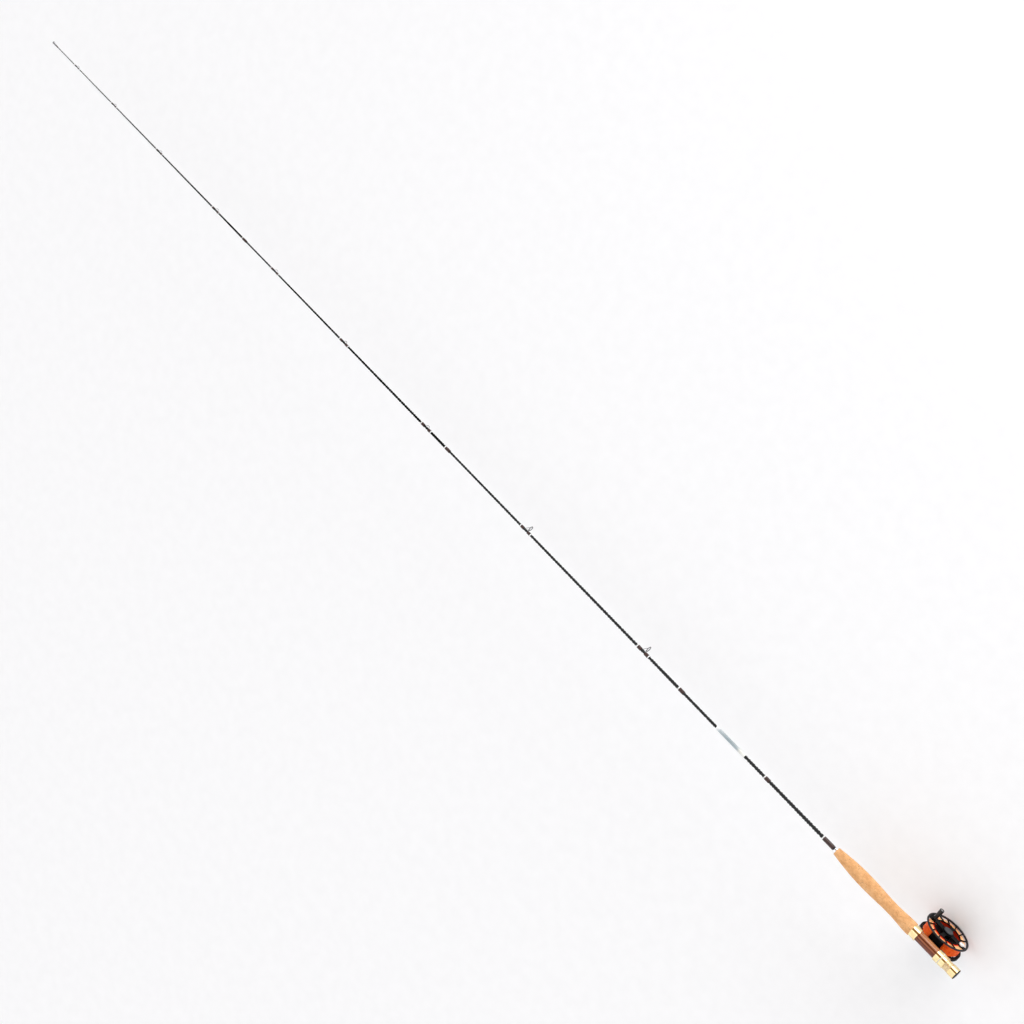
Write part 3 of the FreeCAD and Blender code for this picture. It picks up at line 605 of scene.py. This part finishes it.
# a tapered tube, turned from the part's own outer and inner radii
def buildBlank(node, body, finish):
    stations = stationsOf(looseParts(node)[0])
    places = [station[0] for station in stations]
    outerRadii = [station[1] for station in stations]
    innerRadii = [station[2] for station in stations]
    count = int((places[-1] - places[0]) / (blank["stationGap"] * mm))
    dense = sorted(set(list(np.linspace(places[0], places[-1], count)) + places))
    outer = [(x, float(np.interp(x, places, outerRadii))) for x in dense]
    inner = [(x, float(np.interp(x, places, innerRadii))) for x in reversed(dense)]
    ease = blank["endEase"] * mm
    first, last = outer[0], outer[-1]
    outer[0] = (first[0], first[1] - ease)
    outer.insert(1, (first[0] + ease, first[1]))
    outer[-1] = (last[0] - ease, last[1])
    outer.append((last[0], last[1] - ease))
    points, faces = turnedAboutRod(outer + inner, blank["sides"])
    addPiece(node + "_tube", points, faces, finish, body, [node])


buildBlank("blank_butt", "rod", finishes["graphite"])
buildBlank("blank_second", "second_section", finishes["graphite"])
buildBlank("blank_third", "third_section", slimGraphite)
buildBlank("blank_tip", "tip_section", slimGraphite)
print("blank built")


wrapping = {"sides": 44, "rowGap": 0.10, "threadPitch": 0.40, "ridge": 0.016, "endFall": 1.1,
            "endShare": 0.35, "humpWidth": 0.95, "humpHeight": 0.62, "humpEndShare": 0.25}


# every wrap of one section, with its threads, resin ends and the rise over a guide's foot
def buildWraps(node, body, slot, overFeet):
    parts = []
    for solid in looseParts(node):
        radii = np.hypot(solid[:, 1], solid[:, 2])
        start, end = float(solid[:, 0].min()), float(solid[:, 0].max())
        core = float(radii.min())
        top = float(np.percentile(radii[solid[:, 2] > 0], 90))
        humped = overFeet and radii.max() > top + 0.2 * mm

        def radiusAt(x, angle):
            edge = min(x - start, end - x) / (wrapping["endFall"] * mm)
            rise = math.sqrt(max(0.0, 1 - (1 - min(edge, 1.0)) ** 2))
            turn = x / (wrapping["threadPitch"] * mm) + angle / (2 * math.pi)
            ridge = wrapping["ridge"] * mm * abs(math.sin(math.pi * turn))
            share = wrapping["endShare"] + (1 - wrapping["endShare"]) * rise
            radius = core + (top - core) * share + ridge - wrapping["ridge"] * mm
            away = math.remainder(angle + math.pi / 2 + guideRoll, 2 * math.pi)
            if humped and math.cos(away) > 0:
                hump = max(0.0, 1 - (radius * math.sin(away) / (wrapping["humpWidth"] * mm)) ** 2)
                share = wrapping["humpEndShare"] + (1 - wrapping["humpEndShare"]) * rise
                radius += wrapping["humpHeight"] * mm * math.sqrt(hump) * share
            return radius

        rows = max(8, int((end - start) / (wrapping["rowGap"] * mm)))
        parts.append(sleeveAboutRod(spread(start, end, rows), wrapping["sides"], core, radiusAt))
    points, faces = gather(parts)
    addPiece(node + "_thread", points, faces, finishes[slot], body, [node], smooth=60)


for section, body in (("butt", "rod"), ("second", "second_section"), ("third", "third_section"),
                      ("tip", "tip_section")):
    buildWraps("wraps_" + section, body, "wrap_thread", overFeet=section != "butt")
    buildWraps("trims_" + section, body, "trim_thread", overFeet=False)
print("wraps built")


label = {"sides": 64, "rows": 40, "lap": 0.03, "lapAngle": 0.8, "lapHalfWidth": 0.35, "sink": 0.04,
         "endSink": 0.05}


# a thin band around the blank with a slightly raised lap where its edges meet
def buildLabel():
    solid = looseParts("label_band")[0]
    radii = np.hypot(solid[:, 1], solid[:, 2])
    low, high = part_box("label_band")
    places = spread(low.x, high.x, label["rows"])

    def radiusAt(x, angle):
        onLap = abs(math.remainder(angle - label["lapAngle"], 2 * math.pi)) < label["lapHalfWidth"]
        atEnd = x in (places[0], places[-1])
        return (radii.max() - label["sink"] * mm + (label["lap"] * mm if onLap else 0.0)
                - (label["endSink"] * mm if atEnd else 0.0))

    points, faces = sleeveAboutRod(places, label["sides"], radii.min(), radiusAt)
    addPiece("label_foil_band", points, faces, finishes["label_foil"], "rod", ["label_band"])


buildLabel()


cork = {"sides": 120, "rowGap": 0.62, "glueDepth": 0.10, "glueWidth": 0.5, "sanding": 0.04, "seed": 11,
        "roughness": 0.035, "roughScale": 420, "pitDepth": 0.66, "deepestPit": 0.3, "pitLevel": 0.34,
        "pitStretch": (300, 620, 620)}


# the grip as its glued rings: pitted, hand sanded, each ring with its own grain
def buildCorkGrip():
    random.seed(cork["seed"])
    parts = []
    solids = looseParts("cork_grip")
    stations = sorted(sum([stationsOf(solid) for solid in solids], []))
    places = [station[0] for station in stations]
    outerRadii = [station[1] for station in stations]
    for solid in solids:
        start, end = float(solid[:, 0].min()), float(solid[:, 0].max())
        core = float(np.hypot(solid[:, 1], solid[:, 2]).min())
        shift = Vector((random.uniform(0, 9), random.uniform(0, 9), random.uniform(0, 9)))
        proud = random.uniform(-0.03, 0.02) * mm

        def radiusAt(x, angle):
            smooth = float(np.interp(x, places, outerRadii))
            groove = cork["glueDepth"] * mm * max(0.0, 1 - min(x - start, end - x) / (cork["glueWidth"] * mm))
            spot = Vector((x, smooth * math.cos(angle), smooth * math.sin(angle)))
            rough = noise.fractal(spot * cork["roughScale"] + shift, 1.0, 2.0, 3)
            hollow = noise.noise(spot * Vector(cork["pitStretch"]) + shift)
            pit = cork["pitDepth"] * mm * max(0.0, hollow - cork["pitLevel"])
            return (smooth - groove - min(pit, cork["deepestPit"] * mm) + cork["roughness"] * mm * rough
                    + proud - cork["sanding"] * mm)

        rows = int((end - start) / (cork["rowGap"] * mm))
        parts.append(sleeveAboutRod(spread(start, end, rows), cork["sides"], core, radiusAt))
    points, faces = gather(parts)
    addPiece("cork_grip_rings", points, faces, finishes["cork"], "rod", ["cork_grip"], smooth=70)


buildCorkGrip()
print("grip built")


seatThread = {"pitch": 1.0, "perTurn": 10, "sides": 96, "depth": 0.40, "spigotSink": 0.1, "step": 0.05,
              "runOut": 0.6, "crestHeight": 1.55, "flankSlope": 4.4}


# the metal barrel with its thread cut as one true helix, beyond a plain spigot for the butt cap
def buildSeatBarrel():
    stations = stationsOf(looseParts("threaded_barrel")[0])
    bore = min(station[2] for station in stations)
    crest = max(station[1] for station in stations)
    root = crest - seatThread["depth"] * mm
    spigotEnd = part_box("butt_cap")[1].x
    start, end = stations[0][0], stations[-1][0]
    pitch = seatThread["pitch"] * mm
    step = seatThread["step"] * mm
    rows = int((end - spigotEnd) / pitch * seatThread["perTurn"])
    places = [start, spigotEnd - step] + spread(spigotEnd + step, end, rows)

    def radiusAt(x, angle):
        if x <= spigotEnd:
            return root - seatThread["spigotSink"] * mm
        turn = (x / pitch - angle / (2 * math.pi)) % 1.0
        tooth = seatThread["crestHeight"] - seatThread["flankSlope"] * abs(turn - 0.5)
        runOut = (x - spigotEnd) / (seatThread["runOut"] * mm)
        return root + (crest - root) * min(1.0, max(0.0, tooth)) * min(1.0, max(0.0, runOut))

    points, faces = sleeveAboutRod(places, seatThread["sides"], bore, radiusAt)
    addPiece("seat_barrel_threaded", points, faces, finishes["gold_thread"], "rod",
             ["threaded_barrel"], smooth=50)


buildSeatBarrel()
print("seat built")


snake = {"sides": 14, "wireShare": 0.178, "turnSteps": 72, "reachShare": 0.40, "endPad": 1.0,
         "clearance": 0.05, "steepness": 0.65, "footSteps": 10, "footGap": 1.2,
         "footWidth": 0.60, "footHeight": 0.25}


# each guide is one wire: a ground flat foot, one full turn below the blank, and a second foot
def buildSnakeGuides(node, body):
    unroll = Matrix.Rotation(guideRoll, 4, "X")
    footHeight = snake["footHeight"] * mm
    parts = []
    for solid in looseParts(node):
        low, high = extentsOf([unroll @ Vector(point) for point in solid])
        middle = (low[0] + high[0]) / 2
        footEnd = (high[0] - low[0]) / 2
        reach = snake["reachShare"] * (footEnd + snake["endPad"] * mm)
        wire = snake["wireShare"] * (high[1] - low[1]) / 2
        loop = (high[1] - low[1]) / 2 - wire
        centre = high[2] - wire - snake["clearance"] * mm - loop
        path = []
        sizes = []

        # the feet thin out towards their ends
        def addFoot(side, shares):
            for share in shares:
                away = footEnd - (footEnd - reach - snake["footGap"] * mm) * share
                path.append(Vector((middle + side * away, 0, high[2] - footHeight)))
                sizes.append((snake["footWidth"] * mm * (0.35 + 0.65 * min(1.0, share * 2.2)),
                              footHeight * (0.5 + 0.5 * min(1.0, share * 1.6))))

        footShares = [step / snake["footSteps"] for step in range(snake["footSteps"])]
        addFoot(-1, footShares)
        for share in spread(0.0, 1.0, snake["turnSteps"]):
            angle = 2 * math.pi * share - snake["steepness"] * math.sin(2 * math.pi * share)
            path.append(Vector((middle - reach + 2 * reach * share, loop * math.sin(angle),
                                centre + loop * math.cos(angle))))
            ease = min(1.0, share * 9, (1 - share) * 9)
            sizes.append((wire * (1 + 0.12 * (1 - ease)), wire * (0.75 + 0.25 * ease)))
        addFoot(1, reversed(footShares))
        points, faces = sweepAlong(path, sizes, snake["sides"],
                                   lambda place: Vector((0, place.y, place.z - centre)).normalized())
        parts.append((rollToGuides(points), faces))
    points, faces = gather(parts)
    addPiece(node + "_wire", points, faces, finishes["guide_wire"], body, [node], smooth=60)


buildSnakeGuides("snake_guides_third", "third_section")
buildSnakeGuides("snake_guides_tip", "tip_section")

stripper = {"wire": 0.52, "holderWire": 0.62, "ringSides": 20, "ringSteps": 72, "lipInset": 1.0,
            "lipWire": 0.60, "legTilt": 55.0, "legSides": 16, "kneeSteps": 12, "flatKnees": 2,
            "foot": (0.62, 0.27), "toe": ((0.30, 0.14), (0.46, 0.20))}


# a ring about a centre, lying across a direction
def torusAbout(centre, radius, tube, sides, around, normal):
    sideways = normal.orthogonal().normalized()
    other = normal.cross(sideways)
    path = []
    for step in range(around):
        angle = 2 * math.pi * step / around
        path.append(centre + radius * (sideways * math.cos(angle) + other * math.sin(angle)))
    return sweepAlong(path, (tube, tube), sides, lambda place: (place - centre).normalized(), closed=True)


# a leg is flat at its foot and becomes round wire on the way to the ring
def stripperLeg(knots):
    path = smoothThrough(knots, stripper["kneeSteps"])
    sizes = []
    for index in range(len(path)):
        blend = min(1.0, index / (stripper["kneeSteps"] * stripper["flatKnees"]))
        blend = blend * blend * (3 - 2 * blend)
        sizes.append(tuple((start + (stripper["wire"] - start) * blend) * mm for start in stripper["foot"]))
    for index, (width, height) in enumerate(stripper["toe"]):
        sizes[index] = (width * mm, height * mm)
    return sweepAlong(path, sizes, stripper["legSides"], lambda place: Vector((0.25, 0, 1)))


# a ring held by two legs from its front foot and one from its back foot
def buildStrippingGuide(size):
    frameNode, ringNode = "stripping_frame_" + size, "stripping_ring_" + size
    unroll = Matrix.Rotation(guideRoll, 4, "X")
    low, high = extentsOf([unroll @ Vector(point) for point in looseParts(frameNode)[0]])
    holderWire = stripper["holderWire"] * mm
    ring = (high[1] - low[1]) / 2 - holderWire
    height = -low[2] - holderWire - ring
    middle = middleOf(ringBoxes[size + "_guide_ring"]).x
    level = high[2] - stripper["foot"][1] * mm
    centre = Vector((middle, 0, -height))
    alongRod = Vector((1, 0, 0))
    parts = [torusAbout(centre, ring, holderWire, stripper["ringSides"], stripper["ringSteps"], alongRod)]
    tilt = math.radians(stripper["legTilt"])
    for side in (-1, 1):
        meet = Vector((middle, side * ring * math.sin(tilt), -height + ring * math.cos(tilt)))
        parts.append(stripperLeg([(high[0], side * 0.05 * mm, level),
                                  (middle + 6.5 * mm, side * 0.08 * mm, level),
                                  (middle + 4.9 * mm, side * 0.20 * mm, level - 0.15 * mm),
                                  (middle + 3.5 * mm, meet.y * 0.32, level - 1.5 * mm),
                                  (middle + 1.3 * mm, meet.y * 0.78, (level + meet.z * 2) / 3), meet]))
    top = Vector((middle, 0, -height + ring))
    parts.append(stripperLeg([(low[0], 0, level), (middle - 6.5 * mm, 0, level),
                              (middle - 4.8 * mm, 0, level - 0.12 * mm),
                              (middle - 3.4 * mm, 0, level - 0.9 * mm),
                              (middle - 1.2 * mm, 0, (level + top.z) / 2), top]))
    points, faces = gather(parts)
    addPiece(frameNode + "_wire", rollToGuides(points), faces, finishes["guide_wire"], "second_section",
             [frameNode], smooth=60)
    points, faces = torusAbout(centre, ring - stripper["lipInset"] * mm, stripper["lipWire"] * mm,
                               stripper["ringSides"], stripper["ringSteps"], alongRod)
    addPiece(ringNode + "_polished", rollToGuides(points), faces, finishes["hard_ring"], "second_section",
             [ringNode], smooth=60)


buildStrippingGuide("large")
buildStrippingGuide("small")


tipTop = {"ringWire": 0.42, "tubeWall": 0.42, "ringTilt": 25, "ringBack": 1.35, "tubeBack": 1.3,
          "braceWire": 0.32}


# the tube over the tip, its small tilted ring and the brace behind the ring
def buildTipTop():
    unroll = Matrix.Rotation(guideRoll, 4, "X")
    low, high = extentsOf([unroll @ Vector(point) for point in looseParts("tip_top")[0]])
    ringWire, braceWire = tipTop["ringWire"] * mm, tipTop["braceWire"] * mm
    radius = (high[1] - low[1]) / 2 - ringWire
    tubeRadius = high[2]
    tubeEnd = high[0] - tipTop["tubeBack"] * mm
    bore = tubeRadius - tipTop["tubeWall"] * mm
    outline = [(low[0], tubeRadius - 0.12 * mm), (low[0] + 0.15 * mm, tubeRadius - 0.02 * mm),
               (tubeEnd - 0.5 * mm, tubeRadius - 0.02 * mm), (tubeEnd, tubeRadius - 0.25 * mm),
               (tubeEnd, bore), (low[0], bore)]
    parts = [turnedAboutRod(outline, 36)]
    tilt = math.radians(tipTop["ringTilt"])
    facing = Vector((math.cos(tilt), 0, -math.sin(tilt)))
    centre = Vector((high[0] - tipTop["ringBack"] * mm, 0, low[2] + ringWire + radius * math.cos(tilt)))
    parts.append(torusAbout(centre, radius, ringWire, 16, 48, facing))
    brace = smoothThrough([(tubeEnd - 6 * mm, 0, -tubeRadius + 0.1 * mm),
                           (tubeEnd - 4 * mm, 0, -tubeRadius - 0.3 * mm),
                           centre + Vector((-0.7 * mm, 0, -radius + 0.1 * mm))], 10)
    parts.append(sweepAlong(brace, (braceWire, braceWire), 12, lambda place: Vector((0.3, 0, 1))))
    points, faces = gather(parts)
    addPiece("tip_top_ringed", rollToGuides(points), faces, finishes["guide_wire"], "tip_section",
             ["tip_top"], smooth=50)


buildTipTop()
print("guides built")


winding = {"lineDiameter": 1.06, "stepsPerTurn": 90, "sides": 8, "wander": 0.10, "sink": 0.06,
           "layerShare": 0.88, "roomShare": 0.9, "crossingTurns": 5, "crossingSweeps": 1.5,
           "crossingSink": 0.25}


# the line as it was wound: layer upon layer across the arbor, with a few crossing turns on top
def buildWoundLine():
    low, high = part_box("line_winding")
    drum = (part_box("arbor_drum")[1].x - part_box("arbor_drum")[0].x) / 2
    diameter = winding["lineDiameter"] * mm
    radius = diameter / 2
    width = high.y - low.y - diameter
    layers = int(((high.x - low.x) / 2 - drum) / (diameter * winding["roomShare"]))
    steps = winding["stepsPerTurn"]
    count = int(width / diameter) * steps
    path = []
    angle = 0.0

    def addTurnPoint(distance, y):
        path.append(Vector((reelAxis.x + distance * math.cos(angle), y,
                            reelAxis.z - distance * math.sin(angle))))

    for layer in range(layers):
        for step in range(count):
            share = step / count
            across = share if layer % 2 == 0 else 1 - share
            angle += 2 * math.pi / steps
            wander = noise.noise(Vector((math.cos(angle) * 1.3, math.sin(angle) * 1.3,
                                         layer * 3.1 + share * 7)))
            sink = winding["sink"] * mm * noise.noise(Vector((angle * 0.3, layer * 5.7, 2.0)))
            addTurnPoint(drum + radius + layer * diameter * winding["layerShare"] + sink,
                         low.y + radius + width * across + wander * winding["wander"] * mm)
    crossings = winding["crossingTurns"] * steps
    distance = drum + radius + layers * diameter * winding["layerShare"] - winding["crossingSink"] * mm
    place = path[-1].y
    for step in range(crossings):
        angle += 2 * math.pi / steps
        swing = 0.5 * (1 - math.cos(2 * math.pi * winding["crossingSweeps"] * step / crossings))
        y = place + (high.y - radius - place) * swing
        addTurnPoint(distance, min(max(y, low.y + radius), high.y - radius))

    def outward(spot):
        return Vector((spot.x - reelAxis.x, 0, spot.z - reelAxis.z)).normalized()

    points, faces = sweepAlong(path, (radius, radius), winding["sides"], outward)
    addPiece("fly_line_wound", points, faces, finishes["fly_line"], "spool", ["line_winding"],
             smooth=80)


buildWoundLine()

handle = {"sides": 64, "pointGap": 0.25, "grooves": 3, "grooveDepth": 0.10, "grooveHalfWidth": 0.42,
          "grooveStart": 0.50, "grooveStep": 0.085}


# a slim turned knob with a waist near its foot and three fine grooves
def buildHandle():
    low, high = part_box("handle_knob")
    length = high.y - low.y
    radius = (high.x - low.x) / 2
    # shares of the length from the foot, and of the radius
    shape = [(0.0, 0.74), (0.02, 0.80), (0.055, 0.835), (0.10, 0.82), (0.20, 0.775), (0.32, 0.83),
             (0.45, 0.90), (0.62, 0.945), (0.80, 0.975), (0.92, 1.0), (0.965, 0.985), (0.99, 0.92),
             (1.0, 0.82), (1.0, 0.71), (0.985, 0.695), (0.91, 0.69), (0.91, 0.37), (0.0, 0.37)]
    outline = [(high.y - share * length, size * radius) for share, size in shape]
    dense = []
    for first, second in zip(outline, outline[1:]):
        pieces = max(1, int(abs(first[0] - second[0]) / (handle["pointGap"] * mm)))
        for piece in range(pieces):
            share = piece / pieces
            dense.append([first[0] + (second[0] - first[0]) * share,
                          first[1] + (second[1] - first[1]) * share])
    dense.append(list(outline[-1]))
    for spot in dense:
        if spot[1] > 0.6 * radius:
            for groove in range(handle["grooves"]):
                level = high.y - (handle["grooveStart"] + groove * handle["grooveStep"]) * length
                away = abs(spot[0] - level) / (handle["grooveHalfWidth"] * mm)
                spot[1] -= handle["grooveDepth"] * mm * max(0.0, 1 - away * away)
    points, faces = turnedAboutReel(dense, handle["sides"], handleAxis)
    addPiece("handle_knob_turned", points, faces, finishes["handle_black"], "handle",
             ["handle_knob"], smooth=50)


buildHandle()
print("reel built")


camera = {"place": (-0.3554, -1.5333, 3.0782), "aim": (1.1576, -0.0059, -0.0002), "roll": 95.05,
          "lens": 70.04, "sensor": 36.0, "nearest": 0.1, "farthest": 500.0}


def addCamera():
    data = bpy.data.cameras.new("camera")
    data.lens = camera["lens"]
    data.sensor_width = camera["sensor"]
    data.clip_start = camera["nearest"]
    data.clip_end = camera["farthest"]
    taker = bpy.data.objects.new("camera", data)
    bpy.context.scene.collection.objects.link(taker)
    direction = Vector(camera["aim"]) - Vector(camera["place"])
    turn = direction.to_track_quat("-Z", "Y").to_matrix().to_4x4()
    taker.matrix_world = (Matrix.Translation(camera["place"]) @ turn
                          @ Matrix.Rotation(-math.radians(camera["roll"]), 4, "Z"))
    bpy.context.scene.camera = taker


backdrop = {"halfSize": 200.0, "gap": 0.5}


def addFloor():
    size = backdrop["halfSize"]
    level = cadBox[0].z - backdrop["gap"] * mm
    corners = [(x, y, level) for x, y in ((-size, -size), (size, -size), (size, size), (-size, size))]
    mesh = bpy.data.meshes.new("floor")
    mesh.from_pydata(corners, [], [(0, 1, 2, 3)])
    finish = Finish("pale_floor", {"Specular IOR Level": 0.1})
    paper = finish.cloud((40, 40, 40), detail=3.0)
    finish.use("Base Color", finish.ramp(paper, [(0.3, (0.90, 0.90, 0.90)), (0.7, (0.92, 0.92, 0.92))]))
    finish.use("Roughness", finish.between(paper, 0.90, 1.0))
    mesh.materials.append(finish.material)
    floor = bpy.data.objects.new("floor", mesh)
    bpy.context.scene.collection.objects.link(floor)


softBox = {"place": (0.1, -3.2, 0.60), "aim": (0.1, 0.0, -0.05), "size": (2.4, 0.8), "power": 22}


def addSoftBox():
    data = bpy.data.lights.new("front_light", "AREA")
    data.shape = "RECTANGLE"
    data.size, data.size_y = softBox["size"]
    data.energy = softBox["power"]
    lamp = bpy.data.objects.new("front_light", data)
    lamp.location = softBox["place"]
    lamp.rotation_mode = "QUATERNION"
    lamp.rotation_quaternion = (Vector(softBox["aim"]) - Vector(softBox["place"])).to_track_quat("-Z", "Y")
    bpy.context.scene.collection.objects.link(lamp)


studio = {"overhead": (0.0, -0.643, 0.766), "across": (0.0, 0.766, 0.643), "side": (0.10, -0.93, 0.35),
          "white": (1.151, 1.183, 1.228), "flag": (0.13, 0.070, 0.026), "flagSides": (0.22, 0.46),
          "flagEnd": (0.45, 0.60), "brightening": (0.35, 0.92), "brightest": 2.6}


# an even white studio, brighter towards one side. A long dark flag hangs over the rod, and polished
# metal shows it as one dark stripe
def addWorld():
    world = bpy.data.worlds.new("studio")
    world.use_nodes = True
    bpy.context.scene.world = world
    nodes, links = world.node_tree.nodes, world.node_tree.links
    coords = nodes.new("ShaderNodeTexCoord")

    def towards(direction):
        facing = nodes.new("ShaderNodeVectorMath")
        facing.operation = "DOT_PRODUCT"
        facing.inputs[1].default_value = direction
        links.new(coords.outputs["Generated"], facing.inputs[0])
        return facing.outputs["Value"]

    def grade(value, edges, low, high):
        node = nodes.new("ShaderNodeMapRange")
        node.interpolation_type = "SMOOTHSTEP"
        for socket, amount in zip(("From Min", "From Max", "To Min", "To Max"), (*edges, low, high)):
            node.inputs[socket].default_value = amount
        links.new(value, node.inputs["Value"])
        return node.outputs["Result"]

    def combine(kind, first, second=None):
        node = nodes.new("ShaderNodeMath")
        node.operation = kind
        links.new(first, node.inputs[0])
        if second is not None:
            links.new(second, node.inputs[1])
        return node.outputs["Value"]

    beside = grade(combine("ABSOLUTE", towards(studio["across"])), studio["flagSides"], 0.0, 1.0)
    below = grade(towards(studio["overhead"]), studio["flagEnd"], 1.0, 0.0)
    outsideFlag = combine("MAXIMUM", beside, below)
    lit = grade(towards(studio["side"]), studio["brightening"], 1.0, studio["brightest"])
    colour = nodes.new("ShaderNodeMix")
    colour.data_type = "RGBA"
    colour.inputs[6].default_value = (*studio["flag"], 1.0)
    colour.inputs[7].default_value = (*studio["white"], 1.0)
    background = nodes["Background"]
    links.new(outsideFlag, colour.inputs[0])
    links.new(colour.outputs[2], background.inputs["Color"])
    links.new(lit, background.inputs["Strength"])


addCamera()
addFloor()
addSoftBox()
addWorld()
bpy.context.scene.view_settings.view_transform = "Standard"
print("studio built")
